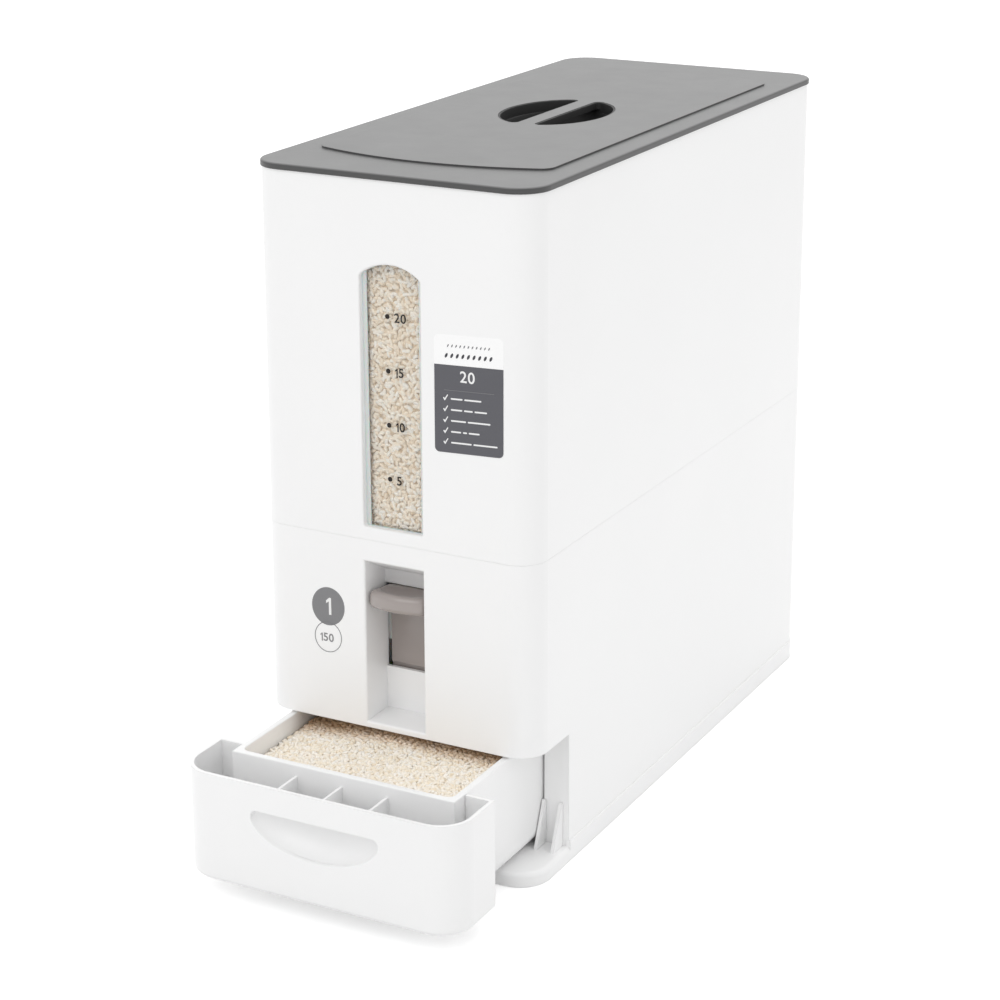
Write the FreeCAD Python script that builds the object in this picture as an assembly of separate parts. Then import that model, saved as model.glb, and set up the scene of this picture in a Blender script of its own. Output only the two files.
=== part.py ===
"""Rice dispenser with drawer: bin, hopper, measuring drum, press slide and pull-out drawer.

Millimetres. X runs to the right as seen from the front, -Y is the front and +Z is up.
The origin is the centre of the base's footprint, on the floor.
"""
import FreeCAD, Part
import math
import os

Vector = FreeCAD.Vector
X_AXIS = Vector(1, 0, 0)
Y_AXIS = Vector(0, 1, 0)
Z_AXIS = Vector(0, 0, 1)

# ---- body ----
body_width = 185.0            # at the top edge
body_depth = 426.0            # at the top edge
body_top = 423.5
body_draft = 0.0044           # each side widens by this much per mm downward
body_corner_radius = 18.0
wall = 2.5
seam_z = 206.2
lap_height = 8.0
lap_thickness = 1.8
lap_gap = 0.25

# ---- lid ----
lid_thickness = 3.6
lid_overhang = 1.0
lid_corner_radius = 20.0
lid_edge_radius = 1.2
lid_field_height = 1.2
lid_field_side_margin = 15.5
lid_field_end_margin = 51.0    # to the ends of the straight sides
lid_field_bulge = 15.0
lid_field_corner = 9.0
lid_skirt_depth = 12.0
lid_skirt_thickness = 2.0
lid_skirt_gap = 2.2           # skirt to the bin's inner face
seal_height = 3.0
seal_groove_depth = 0.9
seal_gap = 0.3                # seal to the bin's inner face
grip_half_width = 34.3
grip_half_length = 47.0
grip_bar_width = 11.2
grip_corner_radius = 4.0
liner_wall = 1.2
liner_gap = 0.1               # liner to the lid's openings
liner_sink = 0.3              # liner's edge below the lid's top
cup_depth = 19.0
cup_wall = 2.0
cup_draft = 4.0
cup_flange = 6.0

# ---- window ----
window_half_width = 20.0
window_sill_rise = 8.0        # above the seam
window_head_margin = 48.8     # below the body's top
window_arch_rise = 7.5
window_shoulder_radius = 3.5
window_foot_radius = 1.5
window_edge_radius = 1.2
window_border = 4.0
window_setback = 4.6          # outer face to the pane
pane_thickness = 2.4
pane_lap = 3.0
pane_gap = 0.2

# ---- lower housing ----
recess_half_width = 20.0
recess_depth = 24.6
recess_floor = 3.8
recess_head_front = 22.0      # above the slot, at the front panel
recess_head_back = 9.0        # above the slot, at the back
recess_wall = 2.5
recess_edge_radius = 1.6
pillar_width = 15.2           # at the body's top edge
pillar_wall = 2.5
pillar_tray_gap = 0.15        # pillars to the tray's raised band
boss_radius = 4.0
boss_inset = 6.9
front_boss_inset = 61.0
deck_boss_inset = 12.0
rear_boss_inset = 25.0

# ---- base tray ----
tray_proud = 1.0
tray_corner_radius = 21.0
tray_height = 9.0
tray_plate = 2.5
tray_rim = 2.5
tray_band_height = 4.0
tray_edge_radius = 3.0
band_edge_radius = 0.8
runner_height = 1.4
runner_width = 2.4
runner_inset = 20.0           # box side to a runner's middle
runner_end_gap = 8.0          # runner to the tray's front edge
stop_gap = 1.5
stop_height = 9.0
fin_height = 29.0
fin_reach = 13.0
fin_tip = 1.6
fin_thickness = 2.2
fin_insets = (14.7, 3.4)      # body's side at the top edge to each fin's middle
fin_side_gap = 1.0
fin_end_gap = 1.5             # fin to its notch in the drawer's cheek
fin_top_gap = 2.0
pad_radius = 7.0
pad_thickness = 4.0
pad_gap = 0.3
pad_boss_wall = 2.2
pad_boss_lift = 0.5
pad_side_inset = 12.5
pad_end_inset = 15.0
stay_thickness = 2.0
stay_height = 4.5
stay_pitch = 62.0

# ---- drawer ----
drawer_opening = 96.0         # how far it stands open
drawer_height = 70.2
drawer_bottom = 11.9
drawer_corner_radius = 21.0
drawer_cheek_depth = 46.8
drawer_edge_radius = 4.0
drawer_wall = 2.5
drawer_head_gap = 2.6         # drawer front to the panel above it
drawer_rear_gap = 0.35        # cheeks to the pillars when shut
box_side_gap = 1.3            # box to the pillars
box_fit_gap = 0.15            # box to the drawer's front shell
box_length = 190.0
box_wall = 4.4
box_front_setback = 32.0      # panel's outer face to the box's front wall
box_corner_radius = 9.0
box_base_radius = 9.0
box_rim_rise = 1.1            # box rim above the front's top edge
box_rim_radius = 0.8
box_runner_gap = 0.3
rib_pitch = 31.0
rib_count = 3
rib_thickness = 1.8
rib_drop = 6.0
scoop_half_width = 43.0
scoop_ball_half_width = 44.5
scoop_depth = 17.0
scoop_height = 24.5
scoop_drop = 17.1             # front's top edge to the scoop's
scoop_end_radius = 4.0
scoop_edge_radius = 0.8
scoop_wall = 2.2

# ---- measuring drum ----
drum_radius = 32.0
drum_half_length = 31.0
drum_wall = 2.0
drum_mouth_angle = 42.0       # half the mouth, in degrees
drum_running_gap = 0.8
drum_end_gap = 0.8
hub_radius = 6.0
axle_radius = 3.0
axle_half_length = 46.0
axle_fit = 0.05
bush_radius = 5.0
bush_flange_radius = 7.0
bush_flange = 1.0
bush_seat_gap = 0.08
clip_radius = 5.5
clip_thickness = 1.2
clip_gap = 0.1

# ---- metering case ----
case_wall = 2.5
case_lift = 1.5               # case above the deck
inlet_half_width = 30.0
inlet_half_length = 18.0
outlet_half_length = 21.0
collar_height = 6.0
leg_width = 10.5
leg_depth = 9.5
leg_flange = 5.0
leg_inset = 33.5              # drum axis to the near face of a leg

# ---- rack and pinion ----
gear_module = 1.5
pinion_teeth = 14
pressure_angle = 20.0
addendum = 1.2
pinion_dedendum = 1.8
rack_dedendum = 1.7
backlash = 0.5
gear_width = 6.0
gear_side_gap = 0.5
rack_back = 5.5
rack_tail = 5.5

# ---- press slide ----
press_stroke = 28.0
slot_rise = 27.5              # recess floor to the slot
slot_height = 55.0
cap_side_gap = 0.7            # lip to the recess's sides
cap_plate = 2.0
cap_plate_gap = 2.0           # plate to the slot's sides
cap_plate_lap = 1.7
cap_step_height = 2.3         # plate's thinner foot, seen above the slot's bottom
cap_step_depth = 1.2
cap_drop = 0.8                # slot's top to the lip's
cap_tilt = 7.0                # degrees that the lip turns up
cap_lip_thickness = 11.0
cap_brace_reach = 13.0
cap_brace_height = 5.0
cap_reach = 28.8              # plate's face to the lip's foremost point
cap_bow = 5.0
cap_corner_radius = 5.0
cap_edge_radius = 3.6
bowl_depth = 4.2
bowl_half_width = 17.8
bowl_half_length = 12.0
slide_gap = 0.4
web_thickness = 2.4
web_half_width = 46.0
web_rise = 16.0               # slot's bottom to the web's
web_height = 34.0
tongue_half_width = 18.0
arm_height = 16.0
lug_thickness = 3.0
lug_half_width = 6.0
lug_margin = 1.0              # past the spring, to the rear

# ---- guide frame ----
guide_depth = 2.7             # how far each channel covers the web's edge
guide_plate = 2.8
guide_lip = 2.2
guide_top_bar = 6.0
guide_screw_x = 54.0
guide_screw_inset = 6.0
guide_flange_edge = 4.2

# ---- return spring ----
spring_radius = 4.0
spring_wire = 0.9
spring_turns = 7
spring_facets = 10
spring_seat_thickness = 3.0
seat_half_width = 9.0
spring_side_gap = 0.6
spring_case_gap = 3.5
spring_pin_radius = 2.0
spring_pin_height = 24.0
spring_end_gap = 0.1

# ---- hopper ----
hopper_thickness = 2.6
hopper_rear_angle = 22.0
hopper_side_angle = 50.0
hopper_wall_gap = 0.4
hopper_seat_gap = 0.3
hopper_ledge_depth = 3.0
hopper_ledge_height = 5.0
neck_wall = 2.0
neck_gap = 0.5
neck_length = 9.0

# ---- deck ----
deck_thickness = 2.5
deck_overrun = 22.8           # behind the shut drawer's box
deck_edge_gap = 0.4
deck_notch_gap = 2.0

# ---- screws ----
screw_radius = 1.5
screw_head_radius = 3.0
screw_head_height = 2.0
screw_hole_gap = 0.25
screw_thread_gap = 0.04
screw_grip = 12.0
screw_tip_gap = 1.0

# ---- modelling allowances ----
overshoot = 1.0               # how far a cutting form runs past a face
bite = 0.5                    # how far joined forms reach into each other
tolerance = 0.001


# ---- places that follow from the sizes above ----
boss_pilot_radius = screw_radius + screw_thread_gap
tray_top = tray_height
housing_bottom = tray_height + tray_band_height
drawer_top = drawer_bottom + drawer_height
panel_bottom = drawer_top + drawer_head_gap
deck_top = panel_bottom + deck_thickness
recess_bottom = panel_bottom + recess_floor
slot_bottom = recess_bottom + slot_rise
slot_top = slot_bottom + slot_height
cap_top = slot_top - cap_drop
web_bottom = slot_bottom + web_rise
web_top = web_bottom + web_height
window_bottom = seam_z + window_sill_rise
window_top = body_top - window_head_margin
scoop_top = drawer_top - scoop_drop
lid_top = body_top + lid_thickness + lid_field_height
pillar_inner_x = body_width / 2 - pillar_width
boss_x = body_width / 2 - boss_inset
box_half_width = pillar_inner_x - box_side_gap
runner_x = box_half_width - runner_inset
pad_x = body_width / 2 - pad_side_inset
pad_y = body_depth / 2 - pad_end_inset
box_rim = drawer_top + box_rim_rise
box_bottom = tray_top + runner_height + box_runner_gap


def half_width(z):
    return body_width / 2 + body_draft * (body_top - z)


def half_depth(z):
    return body_depth / 2 + body_draft * (body_top - z)


recess_back_y = recess_depth - half_depth(slot_bottom)
recess_rear_y = recess_back_y + recess_wall
plate_front_y = recess_rear_y + slide_gap
web_front_y = plate_front_y + cap_plate
web_rear_y = web_front_y + web_thickness
spring_y = web_rear_y + spring_side_gap + spring_radius
case_inner_radius = drum_radius + drum_running_gap
case_outer_radius = case_inner_radius + case_wall
case_half_length = drum_half_length + drum_end_gap + case_wall
axle_y = spring_y + spring_radius + spring_case_gap + case_outer_radius
axle_z = deck_top + case_lift + case_outer_radius
collar_top = axle_z + case_outer_radius + collar_height
throat_z = collar_top + hopper_seat_gap + hopper_thickness
throat_half_width = inlet_half_width - neck_gap - neck_wall
throat_half_length = inlet_half_length - neck_gap - neck_wall
pitch_radius = gear_module * pinion_teeth / 2
gear_inner_x = case_half_length + bush_flange + gear_side_gap
gear_outer_x = gear_inner_x + gear_width
rack_pitch_y = axle_y - pitch_radius
rack_bottom = axle_z - rack_tail
rack_top = axle_z + press_stroke + rack_tail
spring_seat_z = deck_top + slide_gap + cap_plate_lap + spring_seat_thickness
spring_top_z = spring_seat_z + 2 * press_stroke
guide_bottom = spring_seat_z - spring_seat_thickness
guide_top = web_top + guide_top_bar / 2
cheek_rear_y = drawer_cheek_depth - half_depth(drawer_bottom)
pillar_front_y = cheek_rear_y + drawer_rear_gap
box_front_y = box_front_setback - half_depth(drawer_bottom)
box_rear_y = box_front_y + box_length
deck_rear_y = box_rear_y + deck_overrun
front_boss_y = front_boss_inset - body_depth / 2
deck_boss_y = deck_rear_y - deck_boss_inset
rear_boss_y = body_depth / 2 - rear_boss_inset
hopper_front_top = window_bottom - window_border - bite


# ---- shape helpers ----
def box(x0, x1, y0, y1, z0, z1):
    return Part.makeBox(x1 - x0, y1 - y0, z1 - z0, Vector(x0, y0, z0))


def rod_x(radius, y, z, x0, x1):
    return Part.makeCylinder(radius, x1 - x0, Vector(x0, y, z), X_AXIS)


def rod_y(radius, x, z, y0, y1):
    return Part.makeCylinder(radius, y1 - y0, Vector(x, y0, z), Y_AXIS)


def rod_z(radius, x, y, z0, z1):
    return Part.makeCylinder(radius, z1 - z0, Vector(x, y, z0), Z_AXIS)


def join(shapes):
    return shapes[0].multiFuse(shapes[1:]).removeSplitter()


def cut(shape, tools):
    return shape.cut(tools).removeSplitter()


def both_sides(shape):
    """The shape and its mirror image in the plane x = 0."""
    return [shape, shape.mirror(Vector(0, 0, 0), X_AXIS)]


def polygon_prism(points, direction):
    closed = points + points[:1]
    return Part.Face(Part.makePolygon(closed)).extrude(direction)


def prism_x(outline, x0, x1):
    """Extrude an outline of (y, z) points along X."""
    return polygon_prism([Vector(x0, y, z) for y, z in outline], X_AXIS * (x1 - x0))


def prism_y(outline, y0, y1):
    """Extrude an outline of (x, z) points along Y."""
    return polygon_prism([Vector(x, y0, z) for x, z in outline], Y_AXIS * (y1 - y0))


def rounded_wire(half_x, half_y, radius, z):
    """Rectangle with round corners, centred on the Z axis."""
    x, y = half_x - radius, half_y - radius
    slant = radius * math.sqrt(0.5)
    edges = []
    for sx, sy in ((1, 1), (-1, 1), (-1, -1), (1, -1)):
        side_end = Vector(sx * half_x, sy * y, z)
        middle = Vector(sx * (x + slant), sy * (y + slant), z)
        end_start = Vector(sx * x, sy * half_y, z)
        stops = (side_end, middle, end_start) if sx == sy else (end_start, middle, side_end)
        if edges:
            edges.append(Part.makeLine(last, stops[0]))
        edges.append(Part.Arc(*stops).toShape())
        last = stops[2]
    edges.append(Part.makeLine(last, edges[0].Vertexes[0].Point))
    return Part.Wire(edges)


def slab(half_x, half_y, radius, z0, z1):
    face = Part.Face(rounded_wire(half_x, half_y, radius, z0))
    return face.extrude(Z_AXIS * (z1 - z0))


def envelope(z0, z1, inset):
    """The body's tapered outer form between two heights, moved inward by the inset."""
    rings = []
    for z in (z0, z1):
        radius = body_corner_radius - inset
        rings.append(rounded_wire(half_width(z) - inset, half_depth(z) - inset, radius, z))
    return Part.makeLoft(rings, True, True)


def envelope_ring(z0, z1, outer_inset, inner_inset):
    return envelope(z0, z1, outer_inset).cut(envelope(z0 - overshoot, z1 + overshoot, inner_inset))


def fillet_where(shape, radius, wanted):
    edges = [edge for edge in shape.Edges if wanted(edge)]
    return shape.makeFillet(radius, edges)


def lies_at_z(z):
    return lambda edge: all(abs(vertex.Z - z) < tolerance for vertex in edge.Vertexes)


def runs_along(axis):
    """True for straight edges that run along the axis."""
    def wanted(edge):
        ends = [vertex.Point for vertex in edge.Vertexes]
        return len(ends) == 2 and abs((ends[1] - ends[0]).dot(axis)) > edge.Length - tolerance
    return wanted


def lies_on_front(half_x, z0, z1):
    """True for edges on the body's sloping front face, inside a window of that face."""
    def inside(vertex):
        on_face = abs(vertex.Y + half_depth(vertex.Z)) < tolerance
        return on_face and abs(vertex.X) < half_x + tolerance and z0 < vertex.Z < z1
    return lambda edge: all(inside(vertex) for vertex in edge.Vertexes)


def ellipse_wire(half_x, half_y, z):
    curve = Part.Ellipse(Vector(0, half_y, z), Vector(half_x, 0, z), Vector(0, 0, z))
    return Part.Wire(curve.toShape())


def pan_screw(tip, length):
    """Pan head screw, pointing up from the head under its tip."""
    shank = rod_z(screw_radius, tip.x, tip.y, tip.z - length, tip.z)
    head_z = tip.z - length - screw_head_height
    head = rod_z(screw_head_radius, tip.x, tip.y, head_z, tip.z - length)
    return shank.fuse(head)


# ---- lid ----
def lid_field():
    """Raised middle of the lid, with ends that bow outward."""
    half_x = body_width / 2 - lid_field_side_margin
    half_y = body_depth / 2 - lid_field_end_margin
    bow_end = half_y + lid_field_bulge
    edges = []
    for side in (1, -1):
        start = Vector(side * half_x, -side * half_y, 0)
        corner = Vector(side * half_x, side * half_y, 0)
        far_corner = Vector(-side * half_x, side * half_y, 0)
        edges.append(Part.makeLine(start, corner))
        edges.append(Part.Arc(corner, Vector(0, side * bow_end, 0), far_corner).toShape())
    field = Part.Face(Part.Wire(edges)).extrude(Z_AXIS * (lid_thickness + lid_field_height))
    return fillet_where(field, lid_field_corner, runs_along(Z_AXIS))


def grip_form(grow, z0, z1):
    """Two half ovals either side of the grip bar, made larger all round by grow."""
    half_x, half_y = grip_half_width + grow, grip_half_length + grow
    oval = Part.Face(ellipse_wire(half_x, half_y, z0)).extrude(Z_AXIS * (z1 - z0))
    bar = grip_bar_width / 2 - grow
    halves = oval.cut(box(-bar, bar, -2 * half_y, 2 * half_y, z0 - overshoot, z1 + overshoot))
    radius = grip_corner_radius + grow
    return Part.makeCompound([fillet_where(half, radius, runs_along(Z_AXIS)) for half in halves.Solids])


def lid_panel():
    half_x, half_y = half_width(body_top) + lid_overhang, half_depth(body_top) + lid_overhang
    plate = slab(half_x, half_y, lid_corner_radius, 0, lid_thickness)
    plate = fillet_where(plate, lid_edge_radius, lies_at_z(lid_thickness))
    plate = join([plate, lid_field()])
    plate.translate(Z_AXIS * body_top)
    plate = cut(plate, [grip_form(0, body_top - overshoot, lid_top + overshoot)])
    skirt_inset = wall + lid_skirt_gap
    skirt_bottom = body_top - lid_skirt_depth
    skirt = envelope_ring(skirt_bottom, body_top, skirt_inset, skirt_inset + lid_skirt_thickness)
    groove_z = (skirt_bottom + body_top - seal_height) / 2
    groove = envelope_ring(groove_z, groove_z + seal_height, skirt_inset - overshoot,
                           skirt_inset + seal_groove_depth)
    return join([plate, skirt.cut(groove)])


def lid_seal():
    skirt_inset = wall + lid_skirt_gap
    groove_z = body_top - (lid_skirt_depth + seal_height) / 2
    return envelope_ring(groove_z, groove_z + seal_height, wall + seal_gap,
                         skirt_inset + seal_groove_depth)


def cup_form(grow, z0, z1):
    """Oval cup form that widens upward to the liner's inner face, made larger by grow."""
    shrink = grow - liner_gap - liner_wall
    half_x, half_y = grip_half_width + shrink, grip_half_length + shrink
    low = ellipse_wire(half_x - cup_draft, half_y - cup_draft, z0)
    return Part.makeLoft([low, ellipse_wire(half_x, half_y, z1)], True, True)


def handle_cup():
    """Cup under the lid whose liner lines both finger openings up to the lid's top."""
    floor_z = body_top - cup_depth
    brim = Part.Face(ellipse_wire(grip_half_width + cup_flange, grip_half_length + cup_flange,
                                  body_top - cup_wall)).extrude(Z_AXIS * cup_wall)
    liner_top = lid_top - liner_sink
    liner = grip_form(-liner_gap, body_top - bite, liner_top)
    openings = grip_form(-liner_gap - liner_wall, body_top - cup_wall, liner_top + overshoot)
    cup = join([cup_form(cup_wall, floor_z, body_top), brim, liner])
    return cut(cup, [cup_form(0, floor_z + cup_wall, body_top), openings])


# ---- upper bin and window ----
def window_outline(grow, y0, y1):
    """Arched window form, made larger all round by grow, between two planes."""
    x, z0, z1 = window_half_width + grow, window_bottom - grow, window_top + grow
    shoulder = z1 - window_arch_rise
    corners = [Vector(-x, y0, shoulder), Vector(-x, y0, z0), Vector(x, y0, z0), Vector(x, y0, shoulder)]
    edges = [Part.makeLine(a, b) for a, b in zip(corners, corners[1:])]
    edges.append(Part.Arc(corners[3], Vector(0, y0, z1), corners[0]).toShape())
    form = Part.Face(Part.Wire(edges)).extrude(Y_AXIS * (y1 - y0))
    for z, radius in ((shoulder, window_shoulder_radius), (z0, window_foot_radius)):
        at_height = lies_at_z(z)
        form = fillet_where(form, radius + grow, lambda edge: at_height(edge) and runs_along(Y_AXIS)(edge))
    return form


def pane_front_y():
    return window_setback - half_depth((window_bottom + window_top) / 2)


def upper_bin():
    pane_y = pane_front_y()
    frame_rear_y = pane_y + pane_thickness
    frame = window_outline(window_border, -half_depth(body_top) + wall / 2, frame_rear_y)
    pocket = window_outline(pane_lap + pane_gap, pane_y, frame_rear_y + overshoot)
    opening = window_outline(0, -body_depth, frame_rear_y)
    shell = cut(join([envelope_ring(seam_z, body_top, 0, wall), frame]), [pocket, opening])
    shell = fillet_where(shell, window_edge_radius,
                         lies_on_front(window_half_width, seam_z + tolerance, body_top - tolerance))
    lap_inset = wall + lap_gap
    lap = envelope_ring(seam_z - lap_height, seam_z, lap_inset, lap_inset + lap_thickness)
    lap_root = envelope_ring(seam_z, seam_z + lap_thickness, wall - bite, lap_inset + lap_thickness)
    lap = lap.fuse(lap_root).cut(hopper_region(hopper_thickness))
    return join([shell, lap, hopper_ledge()])


def window_pane():
    pane_y = pane_front_y()
    return window_outline(pane_lap, pane_y, pane_y + pane_thickness)


# ---- hopper ----
def hopper_region(drop):
    """Everything above the hopper's four slopes, with the slopes lowered by drop."""
    top = body_top
    reach_x, reach_y = body_width, body_depth
    front_y, rear_y = axle_y - throat_half_length, axle_y + throat_half_length
    front_wall_y = wall - half_depth(seam_z)
    front_angle = math.atan2(hopper_front_top - throat_z, front_y - front_wall_y)
    rear_angle = math.radians(hopper_rear_angle)
    side_angle = math.radians(hopper_side_angle)
    base = throat_z - drop

    def slope(angle):
        return drop * math.tan(angle / 2)

    front_x, rear_x = front_y - slope(front_angle), rear_y + slope(rear_angle)
    front_end, rear_end = front_x - reach_y, rear_x + reach_y
    along = [(front_x, base), (rear_x, base),
             (rear_end, base + reach_y * math.tan(rear_angle)), (rear_end, 2 * top),
             (front_end, 2 * top), (front_end, base + reach_y * math.tan(front_angle))]
    half = throat_half_width + slope(side_angle)
    side_top = base + reach_x * math.tan(side_angle)
    across = [(-half, base), (half, base), (half + reach_x, side_top), (half + reach_x, 2 * top),
              (-half - reach_x, 2 * top), (-half - reach_x, side_top)]
    return prism_x(along, -2 * reach_x, 2 * reach_x).common(prism_y(across, -2 * reach_y, 2 * reach_y))


def hopper_ledge():
    """Rib round the bin's inner face that follows the hopper's underside and carries it."""
    span = hopper_region(hopper_thickness + hopper_ledge_height)
    span = span.cut(hopper_region(hopper_thickness))
    upper = envelope_ring(seam_z, body_top, wall - bite, wall + hopper_ledge_depth)
    lower = envelope_ring(seam_z - lap_height, seam_z, wall + lap_gap, wall + hopper_ledge_depth)
    return span.common(upper.fuse(lower))


def hopper_funnel():
    neck_bottom = throat_z - hopper_thickness - neck_length
    sheet = hopper_region(hopper_thickness).cut(hopper_region(0))
    sheet = sheet.common(envelope(neck_bottom, body_top, wall + hopper_wall_gap))
    outer_x, outer_y = throat_half_width + neck_wall, throat_half_length + neck_wall
    neck = box(-outer_x, outer_x, axle_y - outer_y, axle_y + outer_y, neck_bottom, throat_z)
    bore = box(-throat_half_width, throat_half_width, axle_y - throat_half_length,
               axle_y + throat_half_length, neck_bottom - overshoot, throat_z + overshoot)
    below = hopper_region(hopper_thickness)
    return cut(join([sheet, neck.cut(below), neck.common(sheet)]), [bore])


# ---- lower housing ----
def recess_form(grow):
    """Finger recess, made larger by grow inward of the front panel."""
    back, front = recess_back_y + grow, -body_depth
    rise = (recess_head_front - recess_head_back) / recess_depth
    ceiling_back = slot_top + recess_head_back + grow
    ceiling_front = ceiling_back + rise * (back - front)
    floor_z = panel_bottom if grow else recess_bottom
    outline = [(front, floor_z), (back, floor_z), (back, ceiling_back), (front, ceiling_front)]
    half = recess_half_width + grow
    return prism_x(outline, -half, half)


def side_pillar():
    """Inner wall and end wall of the pillar on the right, as walls inside the housing."""
    rear_y = half_depth(tray_top) - wall / 2
    inner = box(pillar_inner_x, pillar_inner_x + pillar_wall, pillar_front_y, rear_y,
                tray_top, panel_bottom)
    end = box(pillar_inner_x, body_width, pillar_front_y, pillar_front_y + pillar_wall,
              tray_top, panel_bottom)
    webs = []
    for y in (front_boss_y, deck_boss_y, rear_boss_y):
        webs.append(rod_z(boss_radius, boss_x, y, tray_top, panel_bottom))
        webs.append(box(pillar_inner_x + bite, body_width, y - stay_thickness / 2,
                        y + stay_thickness / 2, tray_top, panel_bottom))
    pillar = join([inner, end] + webs)
    lower = tray_well(pillar_tray_gap)
    upper = envelope(housing_bottom, seam_z, wall / 2)
    flush_end = end.common(envelope(housing_bottom, seam_z, 0))
    return join([pillar.common(lower.fuse(upper)), flush_end])


def guide_boss_places():
    low, high = guide_bottom + guide_screw_inset, guide_top - guide_screw_inset
    return [(x, z) for x in (-guide_screw_x, guide_screw_x) for z in (low, high)]


def lower_housing():
    shell = envelope_ring(housing_bottom, seam_z, 0, wall)
    drawer_mouth = box(-body_width, body_width, -body_depth, pillar_front_y, 0, panel_bottom)
    shell = shell.cut(drawer_mouth)
    recess_shell = recess_form(recess_wall).common(envelope(panel_bottom, seam_z, wall / 2))
    shell = cut(join([shell, recess_shell]), [recess_form(0)])
    shell = fillet_where(shell, recess_edge_radius,
                         lies_on_front(recess_half_width, panel_bottom + tolerance, seam_z - tolerance))
    boss_root_y = wall / 2 - half_depth(guide_top)
    bosses = [rod_y(boss_radius, x, z, boss_root_y, guide_front_y()) for x, z in guide_boss_places()]
    slot = box(-recess_half_width, recess_half_width, recess_back_y - overshoot,
               recess_rear_y + overshoot, slot_bottom, slot_top)
    pilots = [rod_y(boss_pilot_radius, x, z, guide_front_y() - screw_grip, guide_front_y())
              for x, z in guide_boss_places()]
    pilots += [rod_z(boss_pilot_radius, x, y, panel_bottom - screw_grip, panel_bottom)
               for x, y in deck_screw_places()]
    pilots += [rod_z(boss_pilot_radius, x, y, tray_top, tray_top + screw_grip)
               for x, y in base_screw_places()]
    return cut(join([shell] + both_sides(side_pillar()) + bosses), [slot] + pilots)


# ---- base tray ----
def fin_places():
    return [side * (body_width / 2 - inset) for side in (-1, 1) for inset in fin_insets]


def fin(x):
    """Thin gusset that stands on the tray in front of a pillar."""
    back = pillar_front_y - drawer_rear_gap / 2
    top = tray_top + fin_height
    foot = tray_top - bite
    outline = [(back, foot), (back, top), (back - fin_tip, top), (back - fin_reach, tray_top),
               (back - fin_reach, foot)]
    return prism_x(outline, x - fin_thickness / 2, x + fin_thickness / 2)


def tray_well(gap):
    """Room inside the tray's raised band, made smaller all round by gap."""
    inset = tray_rim + gap
    return slab(half_width(0) - inset, half_depth(0) - inset, tray_corner_radius - inset,
                tray_height, housing_bottom)


def tray_stays(half_x, half_y):
    """Grid of shallow ribs under the tray's plate."""
    under = tray_height - tray_plate
    reach_x, reach_y = half_x - tray_rim / 2, half_y - tray_rim / 2
    count = int(half_y / stay_pitch)
    stays = []
    for i in range(-count, count + 1):
        y = i * stay_pitch
        stays.append(box(-reach_x, reach_x, y - stay_thickness / 2, y + stay_thickness / 2,
                         under - stay_height, under))
    for x in (-runner_x, runner_x):
        stays.append(box(x - stay_thickness / 2, x + stay_thickness / 2, -reach_y, reach_y,
                         under - stay_height, under))
    return stays


def drawer_runners(half_y):
    """Two low rails under the box and the stop bar behind it."""
    rails = [box(x - runner_width / 2, x + runner_width / 2, runner_end_gap - half_y, box_rear_y,
                 tray_top, tray_top + runner_height) for x in (-runner_x, runner_x)]
    stop_y = box_rear_y + stop_gap
    return rails + [box(-runner_x, runner_x, stop_y, stop_y + stay_thickness, tray_top - bite,
                        tray_top + stop_height)]


def base_tray():
    half_x, half_y = half_width(0) + tray_proud, half_depth(0) + tray_proud
    under = tray_height - tray_plate
    body = slab(half_x, half_y, tray_corner_radius, 0, tray_height)
    body = fillet_where(body, tray_edge_radius, lies_at_z(tray_height))
    band = slab(half_x, half_y, tray_corner_radius, tray_height - tray_edge_radius - bite,
                housing_bottom)
    band = fillet_where(band, band_edge_radius, lies_at_z(housing_bottom))
    band = band.cut(box(-body_width, body_width, -body_depth, pillar_front_y, 0, body_top))
    hollow = slab(half_x - tray_rim, half_y - tray_rim, tray_corner_radius - tray_rim,
                  -overshoot, under)
    pad_bosses = [rod_z(pad_radius + pad_gap + pad_boss_wall, x, y, pad_boss_lift, under)
                  for x, y in pad_places()]
    sockets = [rod_z(pad_radius + pad_gap, x, y, -overshoot, pad_thickness) for x, y in pad_places()]
    holes = [rod_z(screw_radius + screw_hole_gap, x, y, 0, housing_bottom)
             for x, y in base_screw_places()]
    counterbores = [rod_z(screw_head_radius + screw_hole_gap, x, y, 0, under)
                    for x, y in base_screw_places()]
    tray = cut(join([body, band]), [hollow, tray_well(0)])
    fins = [fin(x) for x in fin_places()]
    tray = join([tray] + tray_stays(half_x, half_y) + drawer_runners(half_y) + fins + pad_bosses)
    return cut(tray, sockets + holes + counterbores)


def pad_places():
    return [(x, y) for x in (-pad_x, pad_x) for y in (-pad_y, pad_y)]


def base_screw_places():
    return [(x, y) for x in (-boss_x, boss_x) for y in (front_boss_y, deck_boss_y, rear_boss_y)]


def deck_screw_places():
    return [(x, y) for x in (-boss_x, boss_x) for y in (front_boss_y, deck_boss_y)]


def deck_plate():
    plate = envelope(panel_bottom, deck_top, wall + deck_edge_gap)
    span = box(-body_width, body_width, -body_depth, deck_rear_y, panel_bottom, deck_top)
    notch_half = recess_half_width + recess_wall + deck_notch_gap
    notch = box(-notch_half, notch_half, -body_depth, web_rear_y + slide_gap, 0, body_top)
    chute_x = inlet_half_width + case_wall + deck_edge_gap
    chute_y = outlet_half_length + case_wall + deck_edge_gap
    outlet = box(-chute_x, chute_x, axle_y - chute_y, axle_y + chute_y, 0, body_top)
    holes = [rod_z(screw_radius + screw_hole_gap, x, y, 0, body_top) for x, y in deck_screw_places()]
    holes += [rod_z(boss_pilot_radius, x, y, 0, body_top) for x, y in case_screw_places()]
    return cut(plate.common(span), [notch, outlet] + holes)


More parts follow.
